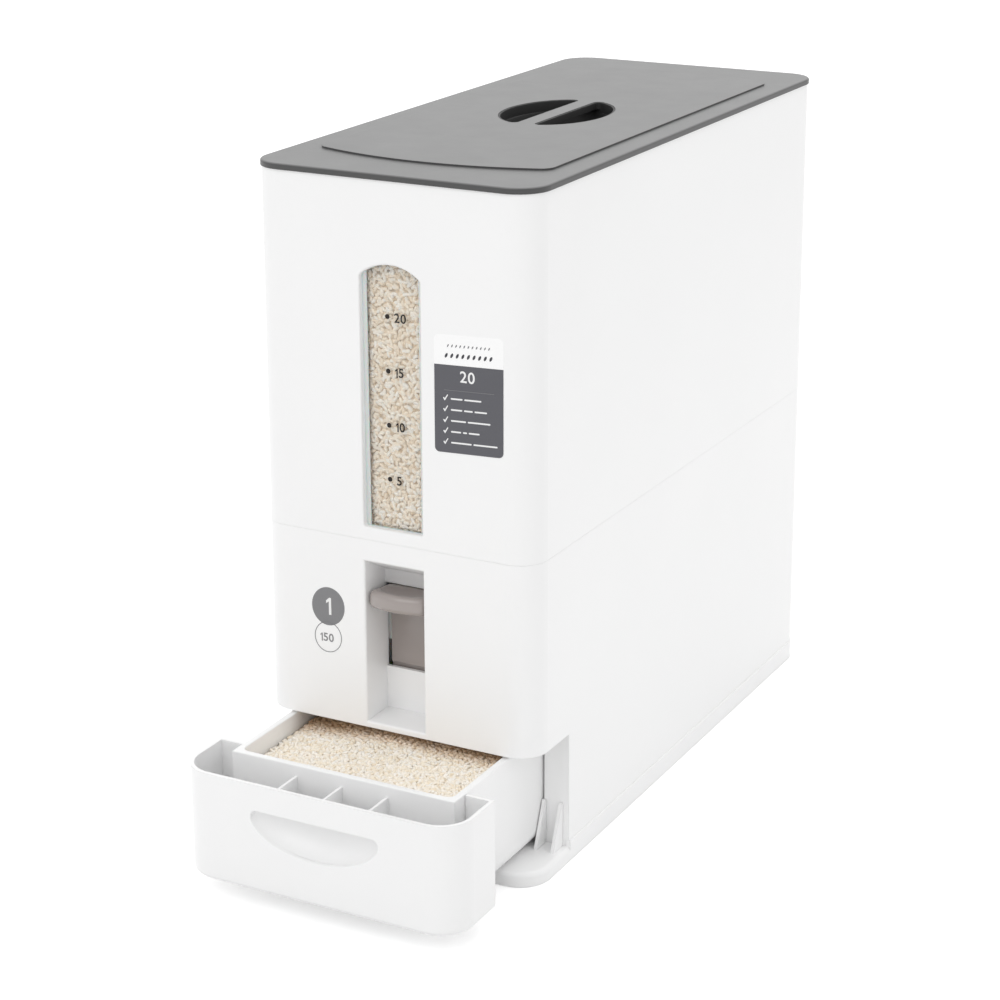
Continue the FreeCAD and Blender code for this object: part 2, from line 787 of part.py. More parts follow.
# ---- metering case ----
def case_screw_places():
    x = case_half_length - leg_width / 2
    y = leg_inset + leg_depth / 2
    return [(sx * x, axle_y + sy * y) for sx in (-1, 1) for sy in (-1, 1)]


def case_form():
    """Cylinder round the drum with its inlet collar, outlet chute and legs, before hollowing."""
    drum_form = rod_x(case_outer_radius, axle_y, axle_z, -case_half_length, case_half_length)
    collar_x, collar_y = inlet_half_width + case_wall, inlet_half_length + case_wall
    collar = box(-collar_x, collar_x, axle_y - collar_y, axle_y + collar_y, axle_z, collar_top)
    chute_y = outlet_half_length + case_wall
    chute = box(-collar_x, collar_x, axle_y - chute_y, axle_y + chute_y, panel_bottom, axle_z)
    legs = []
    for x, y in case_screw_places():
        legs.append(box(x - leg_width / 2, x + leg_width / 2, y - leg_depth / 2, y + leg_depth / 2,
                        deck_top, axle_z + leg_flange))
    return join([drum_form, collar, chute] + legs)


def case_cavity():
    inside_x = drum_half_length + drum_end_gap
    drum_room = rod_x(case_inner_radius, axle_y, axle_z, -inside_x, inside_x)
    inlet = box(-inlet_half_width, inlet_half_width, axle_y - inlet_half_length,
                axle_y + inlet_half_length, axle_z, collar_top + overshoot)
    outlet = box(-inlet_half_width, inlet_half_width, axle_y - outlet_half_length,
                 axle_y + outlet_half_length, 0, axle_z)
    bush_bore = rod_x(bush_radius + bush_seat_gap, axle_y, axle_z, -body_width, body_width)
    return [drum_room, inlet, outlet, bush_bore]


def case_half(z0, z1):
    half = case_form().common(box(-body_width, body_width, -body_depth, body_depth, z0, z1))
    holes = [rod_z(screw_radius + screw_hole_gap, x, y, 0, body_top) for x, y in case_screw_places()]
    return cut(half, case_cavity() + holes)


def meter_case_upper():
    return case_half(axle_z, collar_top)


def meter_case_lower():
    return case_half(panel_bottom, axle_z)


def drum_bush():
    """Flanged bush in the right-hand end wall of the case."""
    inner_x = case_half_length - case_wall
    sleeve = rod_x(bush_radius, axle_y, axle_z, inner_x, case_half_length)
    flange = rod_x(bush_flange_radius, axle_y, axle_z, case_half_length, case_half_length + bush_flange)
    bore = rod_x(axle_radius + axle_fit, axle_y, axle_z, 0, body_width)
    return cut(join([sleeve, flange]), [bore])


# ---- drum, axle and pinions ----
def measuring_drum():
    outside = rod_x(drum_radius, axle_y, axle_z, -drum_half_length, drum_half_length)
    inner_half = drum_half_length - drum_wall
    inside = rod_x(drum_radius - drum_wall, axle_y, axle_z, -inner_half, inner_half)
    hub = rod_x(hub_radius, axle_y, axle_z, -drum_half_length, drum_half_length)
    reach = 2 * drum_radius
    spread = reach * math.tan(math.radians(drum_mouth_angle))
    wedge = prism_x([(axle_y, axle_z), (axle_y + spread, axle_z + reach),
                     (axle_y - spread, axle_z + reach)], -inner_half, inner_half)
    shell = outside.cut([inside, wedge])
    bore = rod_x(axle_radius, axle_y, axle_z, -body_width, body_width)
    return cut(join([shell, hub]), [bore])


def drum_axle():
    return rod_x(axle_radius, axle_y, axle_z, -axle_half_length, axle_half_length)


def involute(angle):
    return math.tan(angle) - angle


def pinion(x0):
    """Involute spur pinion with one tooth pointing to the rack."""
    base_radius = pitch_radius * math.cos(math.radians(pressure_angle))
    tip_radius = pitch_radius + addendum
    root_radius = pitch_radius - pinion_dedendum
    tooth = math.pi * gear_module / 2 - backlash / 2
    half_at_pitch = tooth / (2 * pitch_radius) + involute(math.radians(pressure_angle))
    steps = 4
    flank = [(root_radius, half_at_pitch)]
    for i in range(steps + 1):
        radius = base_radius + (tip_radius - base_radius) * i / steps
        flank.append((radius, half_at_pitch - involute(math.acos(base_radius / radius))))
    points = []
    for index in range(pinion_teeth):
        middle = math.pi + 2 * math.pi * index / pinion_teeth
        profile = [(r, middle - a) for r, a in flank] + [(r, middle + a) for r, a in reversed(flank)]
        points += [(axle_y + r * math.cos(a), axle_z + r * math.sin(a)) for r, a in profile]
    gear = prism_x(points, x0, x0 + gear_width)
    return gear.cut(rod_x(axle_radius, axle_y, axle_z, x0 - overshoot, x0 + gear_width + overshoot))


def axle_clips():
    x0 = gear_outer_x + clip_gap
    clip = rod_x(clip_radius, axle_y, axle_z, x0, x0 + clip_thickness)
    clip = clip.cut(rod_x(axle_radius, axle_y, axle_z, 0, body_width))
    return Part.makeCompound(both_sides(clip))


# ---- press slide ----
def rack():
    """Toothed bar behind the right-hand arm, meshed with the pinion at rest."""
    pitch = math.pi * gear_module
    root_y, tip_y = rack_pitch_y - rack_dedendum, rack_pitch_y + addendum
    slant = math.tan(math.radians(pressure_angle))
    half_at_pitch = pitch / 4 - backlash / 4
    half_tip = half_at_pitch - addendum * slant
    half_root = half_at_pitch + rack_dedendum * slant
    bar = box(gear_inner_x, gear_outer_x, root_y - rack_back, root_y, rack_bottom, rack_top)
    teeth = []
    first = math.ceil((rack_bottom - axle_z + half_root) / pitch - 0.5)
    last = math.floor((rack_top - axle_z - half_root) / pitch - 0.5)
    for i in range(first, last + 1):
        z = axle_z + (i + 0.5) * pitch
        outline = [(root_y - bite, z - half_root), (root_y, z - half_root), (tip_y, z - half_tip),
                   (tip_y, z + half_tip), (root_y, z + half_root), (root_y - bite, z + half_root)]
        teeth.append(prism_x(outline, gear_inner_x, gear_outer_x))
    arm_front, arm_rear = web_front_y, root_y - rack_back / 2
    arm = box(gear_inner_x, gear_outer_x, arm_front, arm_rear, rack_top - arm_height, rack_top)
    return join([bar, arm] + teeth)


def press_carriage():
    web = box(-web_half_width, web_half_width, web_front_y, web_rear_y, web_bottom, web_top)
    tongue = box(-tongue_half_width, tongue_half_width, web_front_y, web_rear_y,
                 slot_bottom - cap_plate_lap / 2, slot_top + cap_plate_lap)
    lug = box(-lug_half_width, lug_half_width, web_front_y, spring_y + spring_radius + lug_margin,
              spring_top_z, spring_top_z + lug_thickness)
    return join([web, tongue, lug] + both_sides(rack()))


def lip_slab():
    """Level lip with a bowed front and round edges, its top at z = 0, behind it the plate's face."""
    half = recess_half_width - cap_side_gap
    side_y = cap_bow - cap_reach
    right, left = Vector(half, side_y, 0), Vector(-half, side_y, 0)
    right_root, left_root = Vector(half, cap_plate, 0), Vector(-half, cap_plate, 0)
    edges = [Part.makeLine(right_root, left_root), Part.makeLine(left_root, left),
             Part.Arc(left, Vector(0, -cap_reach, 0), right).toShape(),
             Part.makeLine(right, right_root)]
    lip = Part.Face(Part.Wire(edges)).extrude(Z_AXIS * -cap_lip_thickness)
    along_z = runs_along(Z_AXIS)
    lip = fillet_where(lip, cap_corner_radius, lambda edge: along_z(edge) and edge.CenterOfMass.y < 0)
    return fillet_where(lip, cap_edge_radius,
                        lambda edge: not along_z(edge) and edge.CenterOfMass.y < cap_plate - tolerance)


def thumb_bowl():
    """Stretched ball that hollows the lip's top."""
    ball = Part.makeSphere(1.0)
    stretch = FreeCAD.Matrix()
    stretch.scale(bowl_half_width, bowl_half_length, 2 * bowl_depth)
    ball = ball.transformGeometry(stretch)
    ball.translate(Vector(0, (cap_bow / 2 - cap_reach - recess_wall) / 2, bowl_depth))
    return ball


def press_lip():
    """Upturned thumb lip on its brace, from the plate's face at y = 0."""
    lip = lip_slab().cut(thumb_bowl())
    lip.rotate(Vector(0, 0, 0), X_AXIS, -cap_tilt)
    half = recess_half_width - cap_side_gap - cap_edge_radius
    middle = -cap_lip_thickness / 2
    foot = -cap_lip_thickness - cap_brace_height
    brace = prism_x([(0, middle), (-cap_brace_reach, middle), (0, foot)], -half, half)
    return lip.fuse(brace)


def press_cap():
    """Thumb lip on the plate that covers the slot from behind."""
    half = recess_half_width - cap_plate_gap
    lip = press_lip()
    lip.translate(Vector(0, plate_front_y, cap_top))
    plate_bottom = slot_bottom - cap_plate_lap
    plate = box(-half, half, plate_front_y, web_front_y, plate_bottom, slot_top + 2 * cap_plate_lap)
    step = box(-half, half, plate_front_y, plate_front_y + cap_step_depth, plate_bottom,
               slot_bottom + cap_step_height)
    return join([plate.cut(step), lip])


# ---- guide frame ----
def guide_front_y():
    return web_front_y - slide_gap - guide_plate


def guide_frame():
    channel_x = web_half_width - guide_depth
    outer_x = web_half_width + slide_gap
    edge_x = guide_screw_x + guide_flange_edge
    lip_front = web_rear_y + slide_gap
    lip_rear = lip_front + guide_lip
    flange = box(channel_x, edge_x, guide_front_y(), guide_front_y() + guide_plate,
                 guide_bottom, guide_top)
    side = box(outer_x, outer_x + guide_plate, guide_front_y(), lip_rear, guide_bottom, guide_top)
    lip = box(channel_x, outer_x + guide_plate, lip_front, lip_rear, guide_bottom, guide_top)
    rails = both_sides(join([flange, side, lip]))
    shelf = box(-outer_x, outer_x, lip_front, lip_rear, guide_bottom, spring_seat_z)
    seat = box(-seat_half_width, seat_half_width, lip_front, spring_y + spring_radius + lug_margin,
               guide_bottom, spring_seat_z)
    bar_bottom = rack_top + slide_gap
    bar = box(-outer_x, outer_x, lip_front, lip_rear, bar_bottom, guide_top)
    holes = [rod_y(screw_radius + screw_hole_gap, x, z, -body_depth, 0) for x, z in guide_boss_places()]
    pin_hole = rod_z(spring_pin_radius, 0, spring_y, 0, body_top)
    return cut(join(rails + [shelf, seat, bar]), holes + [pin_hole])


def spring_pin():
    return rod_z(spring_pin_radius, 0, spring_y, guide_bottom, spring_seat_z + spring_pin_height)


def return_spring():
    """Compression spring from the seat to the carriage's lug, as a faceted coil."""
    wire = spring_wire / 2
    coil_radius = spring_radius - wire
    low = spring_seat_z + wire + spring_end_gap
    high = spring_top_z - wire - spring_end_gap
    stations = spring_turns * spring_facets
    rings = []
    for i in range(stations + 1):
        angle = 2 * math.pi * i / spring_facets
        outward = Vector(math.cos(angle), math.sin(angle), 0)
        middle = outward * coil_radius + Vector(0, spring_y, low + (high - low) * i / stations)
        rings.append([middle - outward * wire, middle - Z_AXIS * wire,
                      middle + outward * wire, middle + Z_AXIS * wire])
    faces = [Part.Face(Part.makePolygon(ends + ends[:1])) for ends in (rings[0], rings[-1])]
    for ring, after in zip(rings, rings[1:]):
        for k in range(4):
            a, b, c, d = ring[k], ring[(k + 1) % 4], after[(k + 1) % 4], after[k]
            faces.append(Part.Face(Part.makePolygon([a, b, c, a])))
            faces.append(Part.Face(Part.makePolygon([a, c, d, a])))
    coil = Part.Solid(Part.makeShell(faces))
    return coil if coil.Volume > 0 else coil.reversed()


# ---- drawer ----
def fin_notches():
    """Room for the tray's fins in the cheeks' rear walls when the drawer is shut."""
    half = fin_thickness / 2 + fin_side_gap
    top = tray_top + fin_height + fin_top_gap
    notch_front = cheek_rear_y - fin_reach - fin_end_gap
    return [box(x - half, x + half, notch_front, cheek_rear_y + overshoot, 0, top)
            for x in fin_places()]


def scoop_mouth(grow):
    """Straight form with round upper corners that trims the scoop's ends."""
    half_x, top = scoop_half_width + grow, scoop_top + grow
    form = box(-half_x, half_x, -body_depth, 0, 0, top)
    at_top = lies_at_z(top)
    return fillet_where(form, scoop_end_radius + grow,
                        lambda edge: at_top(edge) and runs_along(Y_AXIS)(edge))


def scoop_form(grow):
    """Lower half of an ellipsoid with its ends cut round, made larger by grow."""
    ball = Part.makeSphere(1.0)
    stretch = FreeCAD.Matrix()
    stretch.scale(scoop_ball_half_width + grow, scoop_depth + grow, scoop_height + grow)
    ball = ball.transformGeometry(stretch)
    ball.translate(Vector(0, -half_depth(drawer_bottom), scoop_top + grow))
    return ball.common(scoop_mouth(grow))


def drawer_front():
    """Hollow front shell with cheeks, as it lies when the drawer is shut."""
    z0, z1 = drawer_bottom, drawer_top
    half_x, half_y = half_width(z0), half_depth(z0)
    outside = slab(half_x, half_y, drawer_corner_radius, z0, z1)
    outside = fillet_where(outside, drawer_edge_radius, lies_at_z(z0))
    front_part = box(-body_width, body_width, -body_depth, cheek_rear_y, 0, body_top)
    outside = outside.common(front_part)
    inside = slab(half_x - drawer_wall, half_y - drawer_wall, drawer_corner_radius - drawer_wall,
                  z0 + drawer_wall, z1 + overshoot)
    front_room = box(-body_width, body_width, -body_depth, cheek_rear_y - drawer_wall, 0, body_top)
    room_half = box_half_width + box_fit_gap
    box_room = box(-room_half, room_half, box_front_y, 0, 0, body_top)
    shell = outside.cut([inside.common(front_room), box_room])
    panel_inner_y = drawer_wall / 2 - half_y
    ribs = []
    for i in range(rib_count):
        x = (i - (rib_count - 1) / 2) * rib_pitch
        ribs.append(box(x - rib_thickness / 2, x + rib_thickness / 2, panel_inner_y, box_front_y,
                        z0 + drawer_wall / 2, z1 - rib_drop))
    scoop_shell = scoop_form(scoop_wall).common(box(-body_width, body_width, panel_inner_y, 0,
                                                    0, body_top))
    front = cut(join([shell, scoop_shell] + ribs), [scoop_form(0)] + fin_notches())

    def at_mouth(edge):
        return all(abs(vertex.Y + half_y) < tolerance and abs(vertex.X) < scoop_half_width + tolerance
                   and z0 + drawer_edge_radius < vertex.Z < scoop_top + tolerance
                   for vertex in edge.Vertexes)
    return fillet_where(front, scoop_edge_radius, at_mouth)


def drawer_box():
    """Rice box with square upper front corners, as it lies when the drawer is shut."""
    def form(inset, z0, z1):
        body = slab(box_half_width - inset, box_length / 2 - inset, box_corner_radius - inset, z0, z1)
        return fillet_where(body, box_base_radius - inset, lies_at_z(z0))

    front_y = -box_length / 2
    plate = box(-box_half_width, box_half_width, front_y, front_y + box_corner_radius,
                box_bottom + box_base_radius, box_rim)
    outside = join([form(0, box_bottom, box_rim), plate])
    shell = cut(outside, [form(box_wall, box_bottom + box_wall, box_rim + box_wall)])
    shell = fillet_where(shell, box_rim_radius, lies_at_z(box_rim))
    shell.translate(Vector(0, (box_front_y + box_rear_y) / 2, 0))
    return shell


def opened(shape):
    """Move a drawer part from the shut place to where the drawer stands open."""
    shape.translate(Vector(0, -drawer_opening, 0))
    return shape


# ---- feet and fasteners ----
def foot_pad(x, y):
    return rod_z(pad_radius, x, y, 0, pad_thickness)


def base_screws():
    tip_z = tray_top + screw_grip
    length = tip_z - (tray_height - tray_plate)
    shanks = []
    for x, y in base_screw_places():
        shanks.append(pan_screw(Vector(x, y, tip_z), length))
    return Part.makeCompound(shanks)


def screws_down(places, seat_z, length):
    """Pan head screws that point down, with their heads on a seat."""
    screws = []
    for x, y in places:
        shank = rod_z(screw_radius, x, y, seat_z - length, seat_z)
        head = rod_z(screw_head_radius, x, y, seat_z, seat_z + screw_head_height)
        screws.append(shank.fuse(head))
    return Part.makeCompound(screws)


def deck_screws():
    return screws_down(deck_screw_places(), deck_top, deck_thickness + screw_grip - screw_tip_gap)


def case_screws():
    seat_z = axle_z + leg_flange
    return screws_down(case_screw_places(), seat_z, seat_z - panel_bottom - screw_tip_gap)


def guide_screws():
    seat_y = guide_front_y() + guide_plate
    screws = []
    for x, z in guide_boss_places():
        shank = rod_y(screw_radius, x, z, seat_y - guide_plate - screw_grip + screw_tip_gap, seat_y)
        head = rod_y(screw_head_radius, x, z, seat_y, seat_y + screw_head_height)
        screws.append(shank.fuse(head))
    return Part.makeCompound(screws)


def build():
    parts = {
        "lid_panel": lid_panel(),
        "lid_seal": lid_seal(),
        "handle_cup": handle_cup(),
        "upper_bin": upper_bin(),
        "window_pane": window_pane(),
        "hopper_funnel": hopper_funnel(),
        "lower_housing": lower_housing(),
        "base_tray": base_tray(),
        "deck_plate": deck_plate(),
        "meter_case_upper": meter_case_upper(),
        "meter_case_lower": meter_case_lower(),
        "measuring_drum": measuring_drum(),
        "drum_axle": drum_axle(),
        "axle_clips": axle_clips(),
        "press_carriage": press_carriage(),
        "press_cap": press_cap(),
        "guide_frame": guide_frame(),
        "spring_pin": spring_pin(),
        "return_spring": return_spring(),
        "drawer_front": opened(drawer_front()),
        "drawer_box": opened(drawer_box()),
        "base_screws": base_screws(),
        "deck_screws": deck_screws(),
        "case_screws": case_screws(),
        "guide_screws": guide_screws(),
    }
    for side, bush in zip(("right", "left"), both_sides(drum_bush())):
        parts["drum_bush_" + side] = bush
    parts["pinion_right"] = pinion(gear_inner_x)
    parts["pinion_left"] = pinion(-gear_outer_x)
    corners = ("front_left", "rear_left", "front_right", "rear_right")
    for corner, (x, y) in zip(corners, pad_places()):
        parts["foot_pad_" + corner] = foot_pad(x, y)
    return parts


os.makedirs("parts", exist_ok=True)
for node, shape in build().items():
    shape.exportStep("parts/" + node + ".step")
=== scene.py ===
import math

import bmesh
import bpy
import numpy as np
from mathutils import Euler, Matrix, Vector


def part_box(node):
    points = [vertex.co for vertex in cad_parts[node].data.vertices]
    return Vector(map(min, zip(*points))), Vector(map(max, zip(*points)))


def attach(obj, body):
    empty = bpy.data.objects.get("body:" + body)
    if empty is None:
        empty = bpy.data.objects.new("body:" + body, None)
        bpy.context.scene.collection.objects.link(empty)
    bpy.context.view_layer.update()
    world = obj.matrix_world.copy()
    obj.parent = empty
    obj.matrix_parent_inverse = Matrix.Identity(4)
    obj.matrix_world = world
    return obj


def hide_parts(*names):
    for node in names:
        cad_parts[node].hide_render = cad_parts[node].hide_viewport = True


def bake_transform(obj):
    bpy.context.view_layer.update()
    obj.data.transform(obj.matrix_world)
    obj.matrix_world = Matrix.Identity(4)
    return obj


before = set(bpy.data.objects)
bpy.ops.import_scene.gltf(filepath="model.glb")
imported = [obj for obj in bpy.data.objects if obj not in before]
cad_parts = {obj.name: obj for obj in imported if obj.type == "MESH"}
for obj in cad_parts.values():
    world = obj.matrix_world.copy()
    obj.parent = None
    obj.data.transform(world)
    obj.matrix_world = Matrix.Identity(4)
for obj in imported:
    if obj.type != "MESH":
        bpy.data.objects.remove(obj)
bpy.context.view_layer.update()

MM = 0.001

# ---- the body that the printed and loose pieces sit on, in millimetres ----
BODY_TOP = 423.5
BODY_HALF_DEPTH = 213.0       # at the top edge
BODY_HALF_WIDTH = 92.5        # at the top edge
BODY_DRAFT = 0.0044
BODY_WALL = 2.5


def face_y(z):
    """Front face of the body at a height; it leans out a little towards the base."""
    return -(BODY_HALF_DEPTH + BODY_DRAFT * (BODY_TOP - z))


def side_x(z):
    """Right-hand face of the body at a height."""
    return BODY_HALF_WIDTH + BODY_DRAFT * (BODY_TOP - z)


# ---- colour and nodes ----
# a mix node's colour sockets, by number, as its other sockets share their names
AMOUNT, LOW, HIGH, MIXED = 0, 6, 7, 2


def linear(code):
    """Linear RGBA of an sRGB hex colour."""
    channels = [int(code[i:i + 2], 16) / 255 for i in (1, 3, 5)]
    return [c / 12.92 if c <= 0.04045 else ((c + 0.055) / 1.055) ** 2.4 for c in channels] + [1.0]


def per_mm(size):
    """Texture scale whose pattern repeats about once in this many millimetres."""
    return 1 / (size * MM)


def add(tree, kind, settings=None, inputs=None, output=0):
    """Add a shader node with its settings and return one of its outputs, if it has any. An input
    takes a value or the socket that feeds it."""
    node = tree.nodes.new("ShaderNode" + kind)
    for name, value in (settings or {}).items():
        setattr(node, name, value)
    for name, value in (inputs or {}).items():
        if isinstance(value, bpy.types.NodeSocket):
            tree.links.new(value, node.inputs[name])
        else:
            node.inputs[name].default_value = value
    return node.outputs[output] if node.outputs else None


def new_material(name):
    """An empty node material; returns it with its tree."""
    made = bpy.data.materials.new(name)
    made.use_nodes = True
    made.node_tree.nodes.clear()
    return made, made.node_tree


# ---- finishes of the moulded and turned pieces ----
def moulded_plastic(name, dark, light, gloss, skin, edge, ior, painted_shade_tone=None, more=None):
    """Injection-moulded plastic: flow marks tens of millimetres wide, a fine spark-eroded skin,
    and edges that the tool left slightly round. The skin's depth and the edge's radius are in
    millimetres. Upright faces may take a painted shade: a darker tone that stands in for the
    shade that falls on them."""
    made, tree = new_material(name)
    place = add(tree, "TexCoord", output="Object")
    flow = add(tree, "TexNoise", {}, {"Vector": place, "Scale": per_mm(70.0), "Detail": 3.0})
    tone = add(tree, "Mix", {"data_type": "RGBA"},
               {AMOUNT: flow, LOW: linear(dark), HIGH: linear(light)}, MIXED)
    # painted shade: faces that stand upright take a darker tone, standing in for the shade that
    # falls on them
    if painted_shade_tone:
        facing = add(tree, "SeparateXYZ", {}, {0: add(tree, "TexCoord", output="Normal")}, "Z")
        level = add(tree, "Math", {"operation": "ABSOLUTE"}, {0: facing})
        upright = add(tree, "MapRange", {}, {"Value": level, "From Min": 0.75, "From Max": 0.35})
        tone = add(tree, "Mix", {"data_type": "RGBA"},
                   {AMOUNT: upright, LOW: tone, HIGH: linear(painted_shade_tone)}, MIXED)
    handled = add(tree, "TexNoise", {}, {"Vector": place, "Scale": per_mm(24.0), "Detail": 5.0,
                                         "Roughness": 0.6})
    polish = add(tree, "MapRange", {}, {"Value": handled, "To Min": gloss - 0.04,
                                        "To Max": gloss + 0.05})
    round_edge = add(tree, "Bevel", {"samples": 4}, {"Radius": edge * MM})
    # the real skin is about 0.1 mm across; it is drawn at 0.9 mm so that it shows
    eroded = add(tree, "TexNoise", {}, {"Vector": place, "Scale": per_mm(0.9), "Detail": 1.0})
    skinned = add(tree, "Bump", {}, {"Height": eroded, "Distance": skin * MM, "Strength": 0.6,
                                     "Normal": round_edge})
    sunk = add(tree, "Bump", {}, {"Height": flow, "Distance": 0.10 * MM, "Strength": 0.4,
                                  "Normal": skinned})
    plastic = add(tree, "BsdfPrincipled", {},
                  {"Base Color": tone, "Roughness": polish, "IOR": ior, "Normal": sunk,
                   **(more or {})})
    add(tree, "OutputMaterial", {}, {"Surface": plastic})
    return made


def styrene_clear():
    """Clear styrene polished on both sides, with a faint haze and a slight ripple. Lamp light
    passes straight through, so that what lies behind it is lit."""
    made, tree = new_material("styrene_clear")
    place = add(tree, "TexCoord", output="Object")
    haze = add(tree, "TexNoise", {}, {"Vector": place, "Scale": per_mm(18.0), "Detail": 4.0,
                                      "Roughness": 0.6})
    polish = add(tree, "MapRange", {}, {"Value": haze, "To Min": 0.02, "To Max": 0.07})
    ripple = add(tree, "TexNoise", {}, {"Vector": place, "Scale": per_mm(30.0), "Detail": 1.0})
    rippled = add(tree, "Bump", {}, {"Height": ripple, "Distance": 0.05 * MM, "Strength": 0.3})
    styrene = add(tree, "BsdfPrincipled", {},
                  {"Base Color": linear("#FFFFFF"), "Roughness": polish, "IOR": 1.57,
                   "Normal": rippled, "Transmission Weight": 1.0})
    lamp_ray = add(tree, "LightPath", output="Is Shadow Ray")
    let_through = add(tree, "BsdfTransparent", {}, {"Color": linear("#FDFDFD")})
    both = add(tree, "MixShader", {}, {0: lamp_ray, 1: styrene, 2: let_through})
    add(tree, "OutputMaterial", {}, {"Surface": both})
    return made


def zinc_plated_steel():
    """Bright zinc plate over turned steel: fine turning marks under a cloudy passivated film."""
    made, tree = new_material("zinc_plated_steel")
    place = add(tree, "TexCoord", output="Object")
    cloud = add(tree, "TexNoise", {}, {"Vector": place, "Scale": per_mm(6.0), "Detail": 3.0})
    tone = add(tree, "Mix", {"data_type": "RGBA"},
               {AMOUNT: cloud, LOW: linear("#A9ABAE"), HIGH: linear("#C6C8CA")}, MIXED)
    polish = add(tree, "MapRange", {}, {"Value": cloud, "To Min": 0.28, "To Max": 0.42})
    # turning marks are about 0.1 mm apart; they are drawn at 0.5 mm so that they show
    marks = add(tree, "TexNoise", {}, {"Vector": place, "Scale": per_mm(0.5), "Detail": 1.0})
    turned = add(tree, "Bump", {}, {"Height": marks, "Distance": 0.006 * MM})
    steel = add(tree, "BsdfPrincipled", {}, {"Base Color": tone, "Metallic": 1.0,
                                             "Roughness": polish, "Normal": turned})
    add(tree, "OutputMaterial", {}, {"Surface": steel})
    return made


SLOT_FINISHES = {
    # shells and drawer: white ABS out of a polished tool, which gives a clean, even gloss
    "white_shell": moulded_plastic("abs_gloss_white", "#F7F7F7", "#FBFBFB", gloss=0.30,
                                   skin=0.010, edge=0.5, ior=1.52),
    # hopper, case, guide, carriage and deck: moulded natural polypropylene, milky, as a little
    # light goes through it
    "natural_inner": moulded_plastic("polypropylene_natural", "#E4E5E1", "#ECEDEA", gloss=0.40,
                                     skin=0.010, edge=0.5, ior=1.49,
                                     more={"Subsurface Weight": 0.25,
                                           "Subsurface Scale": 0.002}),
    "clear_window": styrene_clear(),
    # lid: mid grey ABS with a fine leather-like eroded grain that breaks up the gloss; its
    # upright edges carry a painted shade, a darker tone that stands in for the shade on them
    "grey_lid": moulded_plastic("abs_grained_grey", "#6A6A6A", "#737373", gloss=0.40,
                                skin=0.030, edge=0.6, ior=1.52, painted_shade_tone="#454545"),
    # handle cup: charcoal polypropylene out of a matt tool, which swallows the light
    "dark_cup": moulded_plastic("polypropylene_charcoal", "#272727", "#2F2F2F", gloss=0.52,
                                skin=0.020, edge=0.6, ior=1.49),
    # lid seal and window gasket: extruded silicone, soft and slightly see-through, with a dusty
    # bloom
    "silicone": moulded_plastic("silicone_milky", "#DADBD8", "#E4E4E1", gloss=0.55,
                                skin=0.020, edge=0.3, ior=1.41,
                                more={"Subsurface Weight": 0.4, "Subsurface Scale": 0.003}),
    # press button: warm grey ABS with a satin polish under a thin clear coat
    "taupe_button": moulded_plastic("abs_satin_taupe", "#9A918D", "#A49B97", gloss=0.22,
                                    skin=0.012, edge=0.5, ior=1.56,
                                    more={"Coat Weight": 0.35, "Coat Roughness": 0.12}),
    "drum_clear": styrene_clear(),
    "steel": zinc_plated_steel(),
    # pinions and bushes: acetal, moulded for sliding, with a waxy white face
    "gear_plastic": moulded_plastic("acetal_natural", "#E6E4DC", "#EEEDE6", gloss=0.35,
                                    skin=0.008, edge=0.3, ior=1.48),
    # feet: moulded rubber, near black and matt, with a grey bloom
    "pad_rubber": moulded_plastic("rubber_black", "#1E1E1E", "#2A2A2A", gloss=0.75,
                                  skin=0.050, edge=0.4, ior=1.52),
}
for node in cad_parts.values():
    for slot in node.material_slots:
        slot.material = SLOT_FINISHES[slot.material.name.split(".")[0]]


# ---- finishes of rice ----
# painted shade: a tan band on the drawer's rice that stands in for the shade under the body's
# front panel
SHADE_BAND_HALF_WIDTH = 27.0
SHADE_BAND_FADE = 20.0
SHADE_BAND_UNEVEN = 10.0
SHADE_BAND_STRENGTH = 0.8


def painted_shade_toned(tree, place, tone, middle_y):
    """Rice tone with painted shade: a patchy tan band about middle_y that stands in for the shade
    under the body's front panel.
    """
    along = add(tree, "SeparateXYZ", {}, {0: place}, "Y")
    patchy = add(tree, "TexNoise", {}, {"Vector": place, "Scale": per_mm(4.0)})
    uneven = add(tree, "Math", {"operation": "MULTIPLY_ADD"},
                 {0: patchy, 1: SHADE_BAND_UNEVEN * MM, 2: along})
    offset = add(tree, "Math", {"operation": "SUBTRACT"}, {0: uneven, 1: middle_y * MM})
    from_middle = add(tree, "Math", {"operation": "ABSOLUTE"}, {0: offset})
    shade_amount = add(tree, "MapRange", {}, {"Value": from_middle, "From Min": SHADE_BAND_HALF_WIDTH * MM,
                                       "From Max": (SHADE_BAND_HALF_WIDTH - SHADE_BAND_FADE) * MM,
                                       "To Max": SHADE_BAND_STRENGTH})
    return add(tree, "Mix", {"data_type": "RGBA", "blend_type": "MULTIPLY"},
               {AMOUNT: shade_amount, LOW: tone, HIGH: linear("#CFAA82")}, MIXED)


